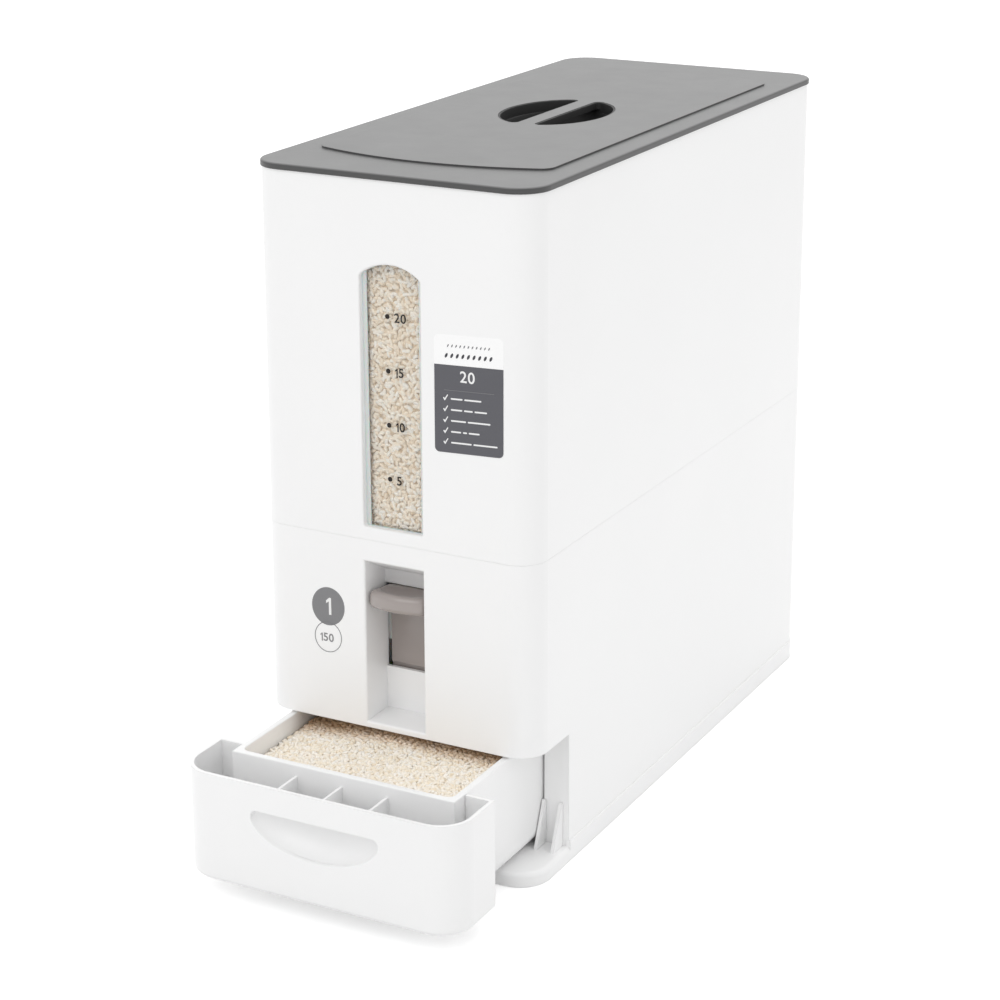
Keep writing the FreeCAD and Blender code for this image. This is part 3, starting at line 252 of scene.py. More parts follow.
def rice_grain(name, tones, chalk_tone, painted_shade_y=None):
    """Polished short-grain rice: each grain its own cream tone, chalky white in places, with
    a slightly waxy face and faint milling grooves."""
    made, tree = new_material(name)
    each = add(tree, "NewGeometry", output="Random Per Island")
    ramp = add(tree, "ValToRGB", {}, {"Fac": each})
    elements = ramp.node.color_ramp.elements
    while len(elements) < len(tones):
        elements.new(0.5)
    for i, code in enumerate(tones):
        elements[i].position = i / (len(tones) - 1)
        elements[i].color = linear(code)
    place = add(tree, "TexCoord", output="Object")
    chalk = add(tree, "TexNoise", {}, {"Vector": place, "Scale": per_mm(2.6)})
    chalky = add(tree, "MapRange", {}, {"Value": chalk, "To Min": -0.25, "To Max": 0.55})
    tone = add(tree, "Mix", {"data_type": "RGBA"},
               {AMOUNT: chalky, LOW: ramp, HIGH: linear(chalk_tone)}, MIXED)
    # painted shade under the front panel, where its y is given
    if painted_shade_y is not None:
        tone = painted_shade_toned(tree, place, tone, painted_shade_y)
    waxy = add(tree, "MapRange", {}, {"Value": chalk, "To Min": 0.34, "To Max": 0.52})
    # milling grooves are about 0.2 mm apart; they are drawn at 0.6 mm so that they show
    grooves = add(tree, "TexNoise", {}, {"Vector": place, "Scale": per_mm(0.6)})
    milled = add(tree, "Bump", {}, {"Height": grooves, "Distance": 0.03 * MM, "Strength": 0.6})
    grain = add(tree, "BsdfPrincipled", {},
                {"Base Color": tone, "Roughness": waxy, "IOR": 1.50, "Normal": milled,
                 "Subsurface Weight": 0.12, "Subsurface Scale": 0.0006,
                 "Subsurface Radius": (1.0, 0.9, 0.8)})
    add(tree, "OutputMaterial", {}, {"Surface": grain})
    return made


def rice_depth(name, gap_tone, cell_tone, painted_shade_y=None):
    """Packed rice below the loose top grains: the same tones broken into grain-sized cells with
    tan shade between them."""
    made, tree = new_material(name)
    place = add(tree, "TexCoord", output="Object")
    drift = add(tree, "TexNoise", {}, {"Vector": place, "Scale": per_mm(9.0)}, "Color")
    bent = add(tree, "VectorMath", {"operation": "MULTIPLY_ADD"},
               {0: drift, 1: (4.0 * MM, 4.0 * MM, 4.0 * MM), 2: place})
    apart = add(tree, "TexVoronoi", {}, {"Vector": bent, "Scale": per_mm(3.2)}, "Distance")
    cells = add(tree, "MapRange", {}, {"Value": apart, "To Min": 1.0, "To Max": 0.0})
    tone = add(tree, "Mix", {"data_type": "RGBA"},
               {AMOUNT: cells, LOW: linear(gap_tone), HIGH: linear(cell_tone)}, MIXED)
    # painted shade under the front panel, where its y is given
    if painted_shade_y is not None:
        tone = painted_shade_toned(tree, place, tone, painted_shade_y)
    heaped = add(tree, "Bump", {}, {"Height": cells, "Distance": 1.2 * MM, "Strength": 0.9})
    rice = add(tree, "BsdfPrincipled", {}, {"Base Color": tone, "Roughness": 0.6, "IOR": 1.50,
                                            "Normal": heaped})
    add(tree, "OutputMaterial", {}, {"Surface": rice})
    return made


# ---- finishes of the prints ----
def printed_ink(name, code, gloss=0.45):
    """Pad-printed ink: flat colour with small pinholes of thinner film."""
    made, tree = new_material(name)
    place = add(tree, "TexCoord", output="Object")
    # pinholes are about 0.1 mm wide; they are drawn at 0.7 mm so that they show
    film = add(tree, "TexNoise", {}, {"Vector": place, "Scale": per_mm(0.7), "Detail": 3.0,
                                      "Roughness": 0.7})
    thin = add(tree, "MapRange", {}, {"Value": film, "To Min": 0.0, "To Max": 0.05})
    tone = add(tree, "Mix", {"data_type": "RGBA"},
               {AMOUNT: thin, LOW: linear(code), HIGH: linear("#FFFFFF")}, MIXED)
    dried = add(tree, "MapRange", {}, {"Value": film, "To Min": gloss - 0.05,
                                       "To Max": gloss + 0.08})
    laid = add(tree, "Bump", {}, {"Height": film, "Distance": 0.01 * MM})
    ink = add(tree, "BsdfPrincipled", {}, {"Base Color": tone, "Roughness": dried, "IOR": 1.50,
                                           "Specular IOR Level": 0.12, "Normal": laid})
    add(tree, "OutputMaterial", {}, {"Surface": ink})
    return made


def label_film(split_z, slope):
    """Coated paper label: white head above a line at split_z that rises by slope, and slate body
    below, with paper tooth under a thin gloss film."""
    made, tree = new_material("label_coated_paper")
    place = add(tree, "TexCoord", output="Object")
    height = add(tree, "VectorMath", {"operation": "DOT_PRODUCT"}, {0: place, 1: (-slope, 0, 1)},
                 "Value")
    head = add(tree, "Math", {"operation": "GREATER_THAN"}, {0: height, 1: split_z * MM})
    # paper tooth is about 0.1 mm wide; it is drawn at 0.8 mm so that it shows
    tooth = add(tree, "TexNoise", {}, {"Vector": place, "Scale": per_mm(0.8), "Detail": 3.0,
                                       "Roughness": 0.7})
    body = add(tree, "Mix", {"data_type": "RGBA"},
               {AMOUNT: tooth, LOW: linear("#4E4E54"), HIGH: linear("#58585E")}, MIXED)
    tone = add(tree, "Mix", {"data_type": "RGBA"},
               {AMOUNT: head, LOW: body, HIGH: linear("#FFFFFF")}, MIXED)
    sheen = add(tree, "MapRange", {}, {"Value": tooth, "To Min": 0.42, "To Max": 0.55})
    laid = add(tree, "Bump", {}, {"Height": tooth, "Distance": 0.012 * MM})
    paper = add(tree, "BsdfPrincipled", {},
                {"Base Color": tone, "Roughness": sheen, "IOR": 1.50, "Normal": laid,
                 "Coat Weight": 0.15, "Coat Roughness": 0.18})
    add(tree, "OutputMaterial", {}, {"Surface": paper})
    return made


# ---- piece helpers ----
def keep(name, mesh, material, body=None):
    """Make a mesh a piece with one material, which rides on a body if one is given."""
    mesh.materials.clear()
    mesh.materials.append(material)
    piece = bpy.data.objects.new(name, mesh)
    bpy.context.scene.collection.objects.link(piece)
    if body:
        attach(piece, body)
    return piece


def to_mesh(name, form, smooth):
    """Mesh of a form, which is freed."""
    mesh = bpy.data.meshes.new(name)
    form.to_mesh(mesh)
    form.free()
    for face in mesh.polygons:
        face.use_smooth = smooth
    return mesh


def keep_form(name, form, material, body=None, smooth=False):
    """Make a form a piece."""
    return keep(name, to_mesh(name, form, smooth), material, body)


def joined(forms):
    """One form of many, which are freed."""
    whole = bmesh.new()
    for form in forms:
        part = to_mesh("part", form, False)
        whole.from_mesh(part)
        bpy.data.meshes.remove(part)
    return whole


def ring_form(loops):
    """Closed ring through loops of points, in millimetres, each joined to the next and the last to
    the first."""
    form = bmesh.new()
    rims = [[form.verts.new([c * MM for c in point]) for point in loop] for loop in loops]
    for k, rim in enumerate(rims):
        following = rims[(k + 1) % len(rims)]
        for i in range(len(rim)):
            j = (i + 1) % len(rim)
            form.faces.new((rim[i], rim[j], following[j], following[i]))
    bmesh.ops.recalc_face_normals(form, faces=form.faces)
    return form


def plate_on_front(outline, proud, thickness, lean=face_y):
    """Thin plate that follows the front face: an outline of (x, z) in millimetres, its outer side
    proud of the face and its thickness going inward."""
    form = bmesh.new()
    front = [form.verts.new((x * MM, (lean(z) - proud) * MM, z * MM)) for x, z in outline]
    back = [form.verts.new((x * MM, (lean(z) - proud + thickness) * MM, z * MM))
            for x, z in outline]
    form.faces.new(front)
    form.faces.new(back[::-1])
    count = len(outline)
    for i in range(count):
        form.faces.new((front[i], back[i], back[(i + 1) % count], front[(i + 1) % count]))
    bmesh.ops.recalc_face_normals(form, faces=form.faces)
    return form


# ---- outlines on the front face, of (x, z) in millimetres ----
# the prints were laid on by hand, a little higher at their right
PRINT_SLOPE = 0.045
GRAIN_TILT = math.radians(62)


def sloped(outline, middle_x):
    return [(x, z + PRINT_SLOPE * (x - middle_x)) for x, z in outline]


def rounded_outline(x0, x1, z0, z1, radius, steps=6):
    points = []
    for cx, cz, start in ((x1 - radius, z1 - radius, 0), (x0 + radius, z1 - radius, 90),
                          (x0 + radius, z0 + radius, 180), (x1 - radius, z0 + radius, 270)):
        for i in range(steps + 1):
            angle = math.radians(start + 90 * i / steps)
            points.append((cx + radius * math.cos(angle), cz + radius * math.sin(angle)))
    return points


def bar_outline(x0, x1, middle_z, height):
    return rounded_outline(x0, x1, middle_z - height / 2, middle_z + height / 2, 0.45 * height, 3)


def oval_outline(cx, cz, half_width, half_height, steps):
    return [(cx + half_width * math.cos(2 * math.pi * i / steps),
             cz + half_height * math.sin(2 * math.pi * i / steps)) for i in range(steps)]


def grain_outline(cx, cz, half_length, half_width, steps=18):
    """Slanted oval with blunt points, like a grain."""
    points = []
    for i in range(steps):
        t = 2 * math.pi * i / steps
        along = half_length * math.cos(t)
        across = half_width * math.sin(t) * abs(math.sin(t)) ** 0.3
        points.append((cx + along * math.cos(GRAIN_TILT) - across * math.sin(GRAIN_TILT),
                       cz + along * math.sin(GRAIN_TILT) + across * math.cos(GRAIN_TILT)))
    return points


def ring_on_front(cx, cz, halves, width, thickness, steps=72):
    """Flat oval ring of a line width that lies on the front face."""
    loops = []
    for inset, depth in ((0, -thickness), (width, -thickness), (width, 0), (0, 0)):
        outline = sloped(oval_outline(cx, cz, halves[0] - inset, halves[1] - inset, steps), cx)
        loops.append([(x, face_y(z) + depth, z) for x, z in outline])
    return ring_form(loops)


# ---- numbers ----
# a one with a flag, for a height of 1, as the font's one is a plain bar
ONE_OUTLINE = ((0.17, -0.5), (0.32, -0.5), (0.32, 0.5), (0.20, 0.5), (0.0, 0.32), (0.0, 0.15),
               (0.17, 0.28))
DIGIT_SPACE = 0.12
BOLDNESS = 0.018
CAPITAL_SHARE = 0.7           # of the font's size


def digit_form(digit, height, y, depth):
    """One digit as a thin raised print that faces the front, its middle at height zero."""
    if digit == "1":
        return plate_on_front([(x * height, z * height) for x, z in ONE_OUTLINE], depth / 2, depth,
                              lambda z: y)
    curve = bpy.data.curves.new("digit", "FONT")
    curve.body = digit
    curve.size = height / CAPITAL_SHARE * MM
    curve.offset = BOLDNESS * height * MM
    curve.extrude = depth / 2 * MM
    curve.resolution_u = 6
    curve.align_y = "CENTER"
    holder = bpy.data.objects.new("digit", curve)
    bpy.context.scene.collection.objects.link(holder)
    depsgraph = bpy.context.evaluated_depsgraph_get()
    mesh = bpy.data.meshes.new_from_object(holder.evaluated_get(depsgraph))
    upright = Matrix.Rotation(math.radians(90), 4, "X")
    mesh.transform(Matrix.Translation((0, y * MM, 0)) @ upright)
    form = bmesh.new()
    form.from_mesh(mesh)
    bpy.data.objects.remove(holder)
    bpy.data.curves.remove(curve)
    bpy.data.meshes.remove(mesh)
    return form


def number_form(text, left, middle_z, height, y, depth):
    """Digits set side by side from left, in millimetres."""
    forms = []
    pen = left * MM
    for digit in text:
        form = digit_form(digit, height, y, depth)
        low = min(vertex.co.x for vertex in form.verts)
        high = max(vertex.co.x for vertex in form.verts)
        bmesh.ops.translate(form, verts=form.verts, vec=(pen - low, 0, middle_z * MM))
        pen += high - low + DIGIT_SPACE * height * MM
        forms.append(form)
    return joined(forms)


# ---- return spring ----
SPRING_WIRE = 0.9
SPRING_TURNS = 7
SPRING_END_PITCH = 1.05
spring_low, spring_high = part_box("return_spring")


def coil_height(turn, length):
    """Height along a coil whose first and last turns lie closed."""
    open_pitch = (length - 2 * SPRING_END_PITCH) / (SPRING_TURNS - 2)
    ends = min(turn, 1.0) + max(0.0, turn - SPRING_TURNS + 1)
    return SPRING_END_PITCH * ends + open_pitch * (turn - ends)


def coil_form(low, high, per_turn=36, sides=12):
    """Round wire wound between two corners of a box, in millimetres, with its ends cut flat."""
    form = bmesh.new()
    wire = SPRING_WIRE / 2
    coil_radius = (high[0] - low[0]) / 2 - wire
    length = high[2] - low[2] - SPRING_WIRE
    middle = Vector(((low[0] + high[0]) / 2, (low[1] + high[1]) / 2, low[2] + wire))
    rings = []
    for i in range(SPRING_TURNS * per_turn + 1):
        angle = 2 * math.pi * i / per_turn
        outward = Vector((math.cos(angle), math.sin(angle), 0))
        rise = Vector((0, 0, coil_height(i / per_turn, length)))
        centre = middle + outward * coil_radius + rise
        ring = []
        for k in range(sides):
            around = 2 * math.pi * k / sides
            reach = math.cos(around) * outward + Vector((0, 0, math.sin(around)))
            ring.append(form.verts.new((centre + wire * reach) * MM))
        rings.append(ring)
    for low_ring, high_ring in zip(rings, rings[1:]):
        for k in range(sides):
            j = (k + 1) % sides
            form.faces.new((low_ring[k], low_ring[j], high_ring[j], high_ring[k]))
    form.faces.new(rings[0][::-1])
    form.faces.new(rings[-1])
    bmesh.ops.recalc_face_normals(form, faces=form.faces)
    return form


# a round wire coil wound in the return spring's box, between the guide's seat and the carriage's
# lug, in place of the solid spring
coil = keep_form("return_spring_coil", coil_form(spring_low / MM, spring_high / MM),
                 SLOT_FINISHES["steel"], smooth=True)
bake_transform(coil)
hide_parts("return_spring")


# ---- window gasket ----
PANE_FACE_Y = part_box("window_pane")[0].y / MM
WINDOW_HALF_WIDTH = 20.0
WINDOW_LOW_Z, WINDOW_HIGH_Z = 214.2, 374.7
WINDOW_ARCH_RISE = 7.5
GASKET_WIDTH = 2.9
# how far each edge is drawn in from the window's sides and ends, and stands proud of the pane
GASKET_PROFILE = ((0.02, 0.02, 0.9), (GASKET_WIDTH - 0.4, 0.2, 0.9), (GASKET_WIDTH, 0.3, 0.5),
                  (GASKET_WIDTH, 0.3, 0.0), (0.02, 0.02, 0.0))


def window_outline(inset_x, inset_z, steps=24):
    """The window's outline with its arched head, drawn in by insets at the sides and the ends."""
    half = WINDOW_HALF_WIDTH - inset_x
    low, high = WINDOW_LOW_Z + inset_z, WINDOW_HIGH_Z - inset_z
    radius = (WINDOW_HALF_WIDTH ** 2 + WINDOW_ARCH_RISE ** 2) / (2 * WINDOW_ARCH_RISE)
    arch = [half - 2 * half * i / steps for i in range(steps + 1)]
    return [(-half, low), (half, low)] + [(x, high - radius + math.sqrt(radius ** 2 - x ** 2))
                                          for x in arch]


gasket = ring_form([[(x, PANE_FACE_Y - proud, z) for x, z in window_outline(inset_x, inset_z)]
                    for inset_x, inset_z, proud in GASKET_PROFILE])
keep_form("window_gasket", gasket, SLOT_FINISHES["silicone"], "stand")


# ---- printed scale, label and badges ----
INK_PROUD = 0.08
dark_ink = printed_ink("ink_dark_brown", "#1C140E")
slate_ink = printed_ink("ink_slate", "#848486", 0.4)
white_ink = printed_ink("ink_white", "#F4F4F4")
graphite_ink = printed_ink("ink_graphite", "#3E3E44")

SCALE_HEIGHTS = {"20": 342.8, "15": 310.2, "10": 277.3, "5": 244.1}
SCALE_DIGIT_HEIGHT = 5.4
SCALE_DIGIT_DEPTH = 0.12
SCALE_DIGITS_LEFT = 0.6
DOT_X = -4.0
DOT_LIFT = 0.6
DOT_RADIUS = 1.5
forms = []
for text, z in SCALE_HEIGHTS.items():
    forms.append(number_form(text, SCALE_DIGITS_LEFT, z, SCALE_DIGIT_HEIGHT,
                             PANE_FACE_Y - INK_PROUD / 2, SCALE_DIGIT_DEPTH))
    forms.append(plate_on_front(oval_outline(DOT_X, z + DOT_LIFT, DOT_RADIUS, DOT_RADIUS, 32),
                                INK_PROUD, INK_PROUD, lambda height: PANE_FACE_Y))
keep_form("scale_numbers", joined(forms), dark_ink, "stand")

LABEL_X = (29.2, 73.8)
LABEL_Z = (269.5, 339.6)
LABEL_CORNER = 3.0
LABEL_MIDDLE_X = 51.5
LABEL_SPLIT_Z = 321.9
LABEL_THICKNESS = 0.16
MARK_PROUD = LABEL_THICKNESS + 0.04
MARK_THICKNESS = 0.05


def on_label(outline):
    return plate_on_front(sloped(outline, LABEL_MIDDLE_X), MARK_PROUD, MARK_THICKNESS)


def grain_row(count, pitch, z, half_length, half_width):
    first = LABEL_MIDDLE_X - (count - 1) * pitch / 2
    return [on_label(grain_outline(first + i * pitch, z, half_length, half_width))
            for i in range(count)]


sheet = plate_on_front(sloped(rounded_outline(*LABEL_X, *LABEL_Z, LABEL_CORNER), LABEL_MIDDLE_X),
                       LABEL_THICKNESS, LABEL_THICKNESS)
keep_form("label", sheet, label_film(LABEL_SPLIT_Z - PRINT_SLOPE * LABEL_MIDDLE_X, PRINT_SLOPE),
          "stand")

# rows of a tick and dashes of these lengths, from the top row down
TICK = ((-1.5, 0.2), (-0.9, 0.75), (-0.35, -0.05), (1.35, 2.5), (1.8, 2.1), (-0.3, -1.4))
ROWS = ((7.6, 11.0), (7.4, 5.6, 8.0), (9.8, 14.6), (6.6, 2.6, 7.0), (13.4, 15.6))
ROW_TOP_Z = 301.9
ROW_PITCH = 6.55
TICK_X = 36.3
DASHES_LEFT = 39.9
DASH_HEIGHT = 0.95
DASH_SPACE = 1.2
marks = []
for row, dashes in enumerate(ROWS):
    z = ROW_TOP_Z - ROW_PITCH * row
    marks.append(on_label([(TICK_X + x, z + dz) for x, dz in TICK]))
    left = DASHES_LEFT
    for length in dashes:
        marks.append(on_label(bar_outline(left, left + length, z, DASH_HEIGHT)))
        left += length + DASH_SPACE
LABEL_NUMBER_Z = 314.9
marks.append(number_form("20", 46.0, LABEL_NUMBER_Z, 6.6, face_y(LABEL_NUMBER_Z) - MARK_PROUD,
                         MARK_THICKNESS))
keep_form("label_marks", joined(marks), white_ink, "stand")
keep_form("label_grains", joined(grain_row(9, 3.6, 327.4, 1.6, 0.78)), graphite_ink, "stand")
rule = on_label(bar_outline(35.4, 67.8, 306.9, 0.22))
keep_form("label_fine_print", joined(grain_row(11, 2.65, 333.2, 1.0, 0.42) + [rule]), slate_ink,
          "stand")

BADGE = (-46.0, 158.7)
BADGE_HALVES = (11.5, 12.3)
RING = (-46.5, 138.7)
RING_HALVES = (9.6, 10.0)
RING_LINE = 0.5
disc = plate_on_front(sloped(oval_outline(*BADGE, *BADGE_HALVES, 96), BADGE[0]), INK_PROUD,
                      INK_PROUD)
ring = ring_on_front(*RING, RING_HALVES, RING_LINE, INK_PROUD)
ring_number = number_form("150", RING[0] - 5.6, RING[1] - 0.6, 5.2,
                          face_y(RING[1]) - INK_PROUD / 2, INK_PROUD)
keep_form("badge", joined([disc, ring, ring_number]), slate_ink, "stand")
badge_number = number_form("1", BADGE[0] - 1.4, BADGE[1] + 0.2, 11.0,
                           face_y(BADGE[1]) - 0.13, 0.06)
keep_form("badge_number", badge_number, white_ink, "stand")


# ---- rice ----
GRAIN_HALF_LENGTH = 2.15
GRAIN_HALF_WIDTH = 1.27
GRAIN_HALF_THICKNESS = 0.98
GRAIN_BLUNTNESS = 0.8
GRAIN_FLAT_BELLY = 0.10
GERM_END = (0.96, 0.25)       # share of the half length, and offset to a side
GRAIN_SPREAD = (0.07, 0.06, 0.06)
ROW_SHARE = 0.87              # of the pitch, as rows of grains nest
WANDER = 0.42                 # of the pitch, to each side


def grain_shape(around, along):
    """One plump grain: rings from end to end, with a flatter belly and a germ end set to a
    side."""
    points = [(-GRAIN_HALF_LENGTH, 0.0, 0.0)]
    for i in range(1, along):
        t = math.pi * i / along
        x = -GRAIN_HALF_LENGTH * math.cos(t)
        size = math.sin(t) ** GRAIN_BLUNTNESS
        for k in range(around):
            angle = 2 * math.pi * k / around
            belly = 1.0 - GRAIN_FLAT_BELLY * max(0.0, math.cos(angle))
            points.append((x, GRAIN_HALF_WIDTH * size * math.cos(angle) * belly,
                           GRAIN_HALF_THICKNESS * size * math.sin(angle)))
    points.append((GRAIN_HALF_LENGTH * GERM_END[0], GERM_END[1], 0.0))
    last = len(points) - 1
    faces = []
    for k in range(around):
        after = (k + 1) % around
        faces.append((0, 1 + after, 1 + k))
        faces.append((last, last - around + k, last - around + after))
        for i in range(along - 2):
            a = 1 + i * around
            faces.append((a + k, a + after, a + around + after))
            faces.append((a + k, a + around + after, a + around + k))
    return np.array(points), np.array(faces)


def scatter_grains(name, places, normal, seed, body, finish, lean=0.35, rings=(7, 5)):
    """One mesh of grains that lie at places, each turned at random about the surface's normal."""
    draw = np.random.default_rng(seed)
    shape, faces = grain_shape(*rings)
    facing = Vector(normal).to_track_quat("Z", "Y").to_matrix().to_3x3()
    count = len(places)
    corners = np.empty((count, len(shape), 3))
    for i, place in enumerate(places):
        spin = Euler((draw.normal(0, lean), draw.normal(0, lean), draw.uniform(0, 2 * math.pi)))
        size = np.array([draw.normal(1, spread) for spread in GRAIN_SPREAD])
        matrix = np.array(facing @ spin.to_matrix())
        corners[i] = (shape * size) @ matrix.T + place
    mesh = bpy.data.meshes.new(name)
    offsets = np.arange(count)[:, None, None] * len(shape)
    all_faces = (faces[None] + offsets).reshape(-1, 3)
    mesh.from_pydata((corners.reshape(-1, 3) * MM).tolist(), [], all_faces.tolist())
    for face in mesh.polygons:
        face.use_smooth = True
    return keep(name, mesh, finish, body)


def corner_narrowing(y, y0, y1, radius):
    """How far a box with round corners draws in on each side at y."""
    past = max(0.0, radius - min(y - y0, y1 - y))
    return radius - math.sqrt(max(0.0, radius ** 2 - past ** 2))


def grain_spots(x0, x1, y0, y1, pitch, seed, radius=0.0):
    """Points on a staggered grid, each moved at random by part of the pitch, inside a box with
    round corners."""
    draw = np.random.default_rng(seed)
    points = []
    rows = int((y1 - y0) / (pitch * ROW_SHARE))
    for j in range(rows + 1):
        y = y0 + (y1 - y0) * (j + 0.5) / (rows + 1)
        shift = pitch / 2 * (j % 2)
        for i in range(int((x1 - x0 - shift) / pitch) + 1):
            points.append((x0 + shift + i * pitch + draw.uniform(-WANDER, WANDER) * pitch,
                           y + draw.uniform(-WANDER, WANDER) * pitch))
    inside = []
    for x, y in points:
        if y0 < y < y1:
            inset = corner_narrowing(y, y0, y1, radius)
            if x0 + inset < x < x1 - inset:
                inside.append((x, y))
    return inside


def rice_block(name, x0, x1, y0, y1, radius, top, bottom, columns, rows, material, body):
    """Closed block with round corners whose top and bottom are height functions of x and y."""
    form = bmesh.new()
    layers = []
    for level in (top, bottom):
        layer = []
        for y in np.linspace(y0, y1, rows + 1):
            inset = corner_narrowing(y, y0, y1, radius)
            xs = np.linspace(x0 + inset, x1 - inset, columns + 1)
            layer.append([form.verts.new((x * MM, y * MM, level(x, y) * MM)) for x in xs])
        layers.append(layer)
    up, low = layers
    for j in range(rows):
        for i in range(columns):
            form.faces.new((up[j][i], up[j][i + 1], up[j + 1][i + 1], up[j + 1][i]))
            form.faces.new((low[j][i], low[j + 1][i], low[j + 1][i + 1], low[j][i + 1]))
    for j in range(rows):
        form.faces.new((up[j][0], up[j + 1][0], low[j + 1][0], low[j][0]))
        form.faces.new((up[j][-1], low[j][-1], low[j + 1][-1], up[j + 1][-1]))
    for i in range(columns):
        form.faces.new((up[0][i], low[0][i], low[0][i + 1], up[0][i + 1]))
        form.faces.new((up[-1][i], up[-1][i + 1], low[-1][i + 1], low[-1][i]))
    bmesh.ops.recalc_face_normals(form, faces=form.faces)
    return keep_form(name, form, material, body, smooth=True)


def poured_waves(x, y, seed):
    """Soft uneven height of poured rice, from -1 to 1."""
    return (math.sin(x / 17.0 + seed) * 0.45 + math.sin(y / 23.0 + 2.1 * seed) * 0.35 +
            math.sin((x + 1.7 * y) / 11.0 + 3.3 * seed) * 0.2)


def part_way(distance, whole):
    """How far along a distance is, from 0 to 1."""
    return max(0.0, min(1.0, distance / whole))


UNDER_PANEL_SHADE_Y = -190.0             # painted shade on the drawer's rice is centred here, under the front panel
RICE_TONES = ("#F6E7CF", "#FDF2E0", "#FFF6E9", "#FFFAF2")
RICE_CHALK = "#FDF9F2"
drawer_grain_finish = rice_grain("rice_in_drawer", RICE_TONES, RICE_CHALK, UNDER_PANEL_SHADE_Y)
grain_finish = rice_grain("rice_polished", RICE_TONES, RICE_CHALK)
# the grains against the pane catch the light, and those behind them lie in shade
window_grain_finish = rice_grain("rice_at_window", ("#F3DFC1", "#FDEDD5", "#FFF4E2", "#FFFAF0"),
                                 "#FFF6E8")
window_shade_finish = rice_grain("rice_behind_window",
                                 ("#C9AD86", "#DCC5A2", "#E8D5B8", "#F0E0C8"), "#EAD8BC")
drawer_depth_finish = rice_depth("rice_packed_in_drawer", "#EEDDC2", "#FCF2E2", UNDER_PANEL_SHADE_Y)
depth_finish = rice_depth("rice_packed", "#CDB48E", "#F0E2CB")

# rice in the drawer, highest under the outlet
BOX_LOW, BOX_HIGH = [[c / MM for c in corner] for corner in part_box("drawer_box")]
BOX_WALL = 4.4
BOX_CORNER = 4.6
BOX_PLAY = 0.4
DRAWER_RICE = (BOX_LOW[0] + BOX_WALL + BOX_PLAY, BOX_HIGH[0] - BOX_WALL - BOX_PLAY,
               BOX_LOW[1] + BOX_WALL + BOX_PLAY, BOX_HIGH[1] - BOX_WALL - BOX_PLAY)
DRAWER_RICE_TOP = 77.5
# where the rice starts to fall off, over what run, and by how much
FRONT_FALL_Y, FRONT_FALL_RUN, FRONT_FALL = -200.0, 75.0, 1.6
LEFT_FALL_X, LEFT_FALL_RUN, LEFT_FALL = -10.0, 60.0, 5.5
DRAWER_WAVE = 0.9
BED_SUNK = 0.5                # below the loose grains
BED_BASE = 6.0                # above the box's floor
GRAIN_ROOM = 1.6              # between a grain's middle and the rice's edge
DENSE_Y = -160.0              # rice in front of this is seen, so it has two layers of grains


def drawer_rice_z(x, y):
    toward_front = part_way(FRONT_FALL_Y - y, FRONT_FALL_RUN)
    toward_left = part_way(LEFT_FALL_X - x, LEFT_FALL_RUN)
    return (DRAWER_RICE_TOP - FRONT_FALL * toward_front - LEFT_FALL * toward_left ** 1.5 +
            DRAWER_WAVE * poured_waves(x, y, 1.0))


rice_block("drawer_rice_bed", *DRAWER_RICE, BOX_CORNER,
           lambda x, y: drawer_rice_z(x, y) - BED_SUNK,
           lambda x, y: BOX_LOW[2] + BOX_WALL + BED_BASE, 60, 80, drawer_depth_finish, "drawer")
for part, y0, y1, lift, pitch, seed in (
        ("front_low", DRAWER_RICE[2] + GRAIN_ROOM, DENSE_Y, -0.3, 2.4, 11),
        ("front_top", DRAWER_RICE[2] + GRAIN_ROOM, DENSE_Y, 0.5, 3.2, 12),
        ("rear", DENSE_Y, DRAWER_RICE[3] - GRAIN_ROOM, 0.2, 3.0, 13)):
    spots = grain_spots(DRAWER_RICE[0] + GRAIN_ROOM, DRAWER_RICE[1] - GRAIN_ROOM, y0, y1, pitch,
                        seed, BOX_CORNER)
    scatter_grains("drawer_rice_grains_" + part,
                   [(x, y, drawer_rice_z(x, y) + lift) for x, y in spots], (0, 0, 1), seed,
                   "drawer", drawer_grain_finish)

# rice in the bin: a body that fills the hopper, grains against the window, and grains on its top
BIN_RICE_TOP = 386.0
BIN_WAVE = 2.0
BIN_CORNER = 17.0
BIN_MIDDLE_Z = 300.0
BIN_PLAY = 1.0
BIN_INSIDE_X = side_x(BIN_MIDDLE_Z) - BODY_WALL - BIN_PLAY
BIN_INSIDE_Y = -face_y(BIN_MIDDLE_Z) - BODY_WALL - BIN_PLAY
THROAT_Z = 168.2
THROAT_HALF_X = 27.5
THROAT_MIDDLE_Y = -135.05
THROAT_HALF_Y = 15.5
SIDE_STEEPNESS = math.tan(math.radians(50.0))
REAR_STEEPNESS = math.tan(math.radians(22.0))
FRONT_STEEPNESS = 0.69
HOPPER_PLAY = 1.5


def bin_rice_z(x, y):
    return BIN_RICE_TOP + BIN_WAVE * poured_waves(x, y, 2.0)


def hopper_z(x, y):
    """Height just above the hopper's four slopes."""
    side = (abs(x) - THROAT_HALF_X) * SIDE_STEEPNESS
    rear = (y - THROAT_MIDDLE_Y - THROAT_HALF_Y) * REAR_STEEPNESS
    front = (THROAT_MIDDLE_Y - THROAT_HALF_Y - y) * FRONT_STEEPNESS
    return THROAT_Z + HOPPER_PLAY + max(0.0, side, rear, front)


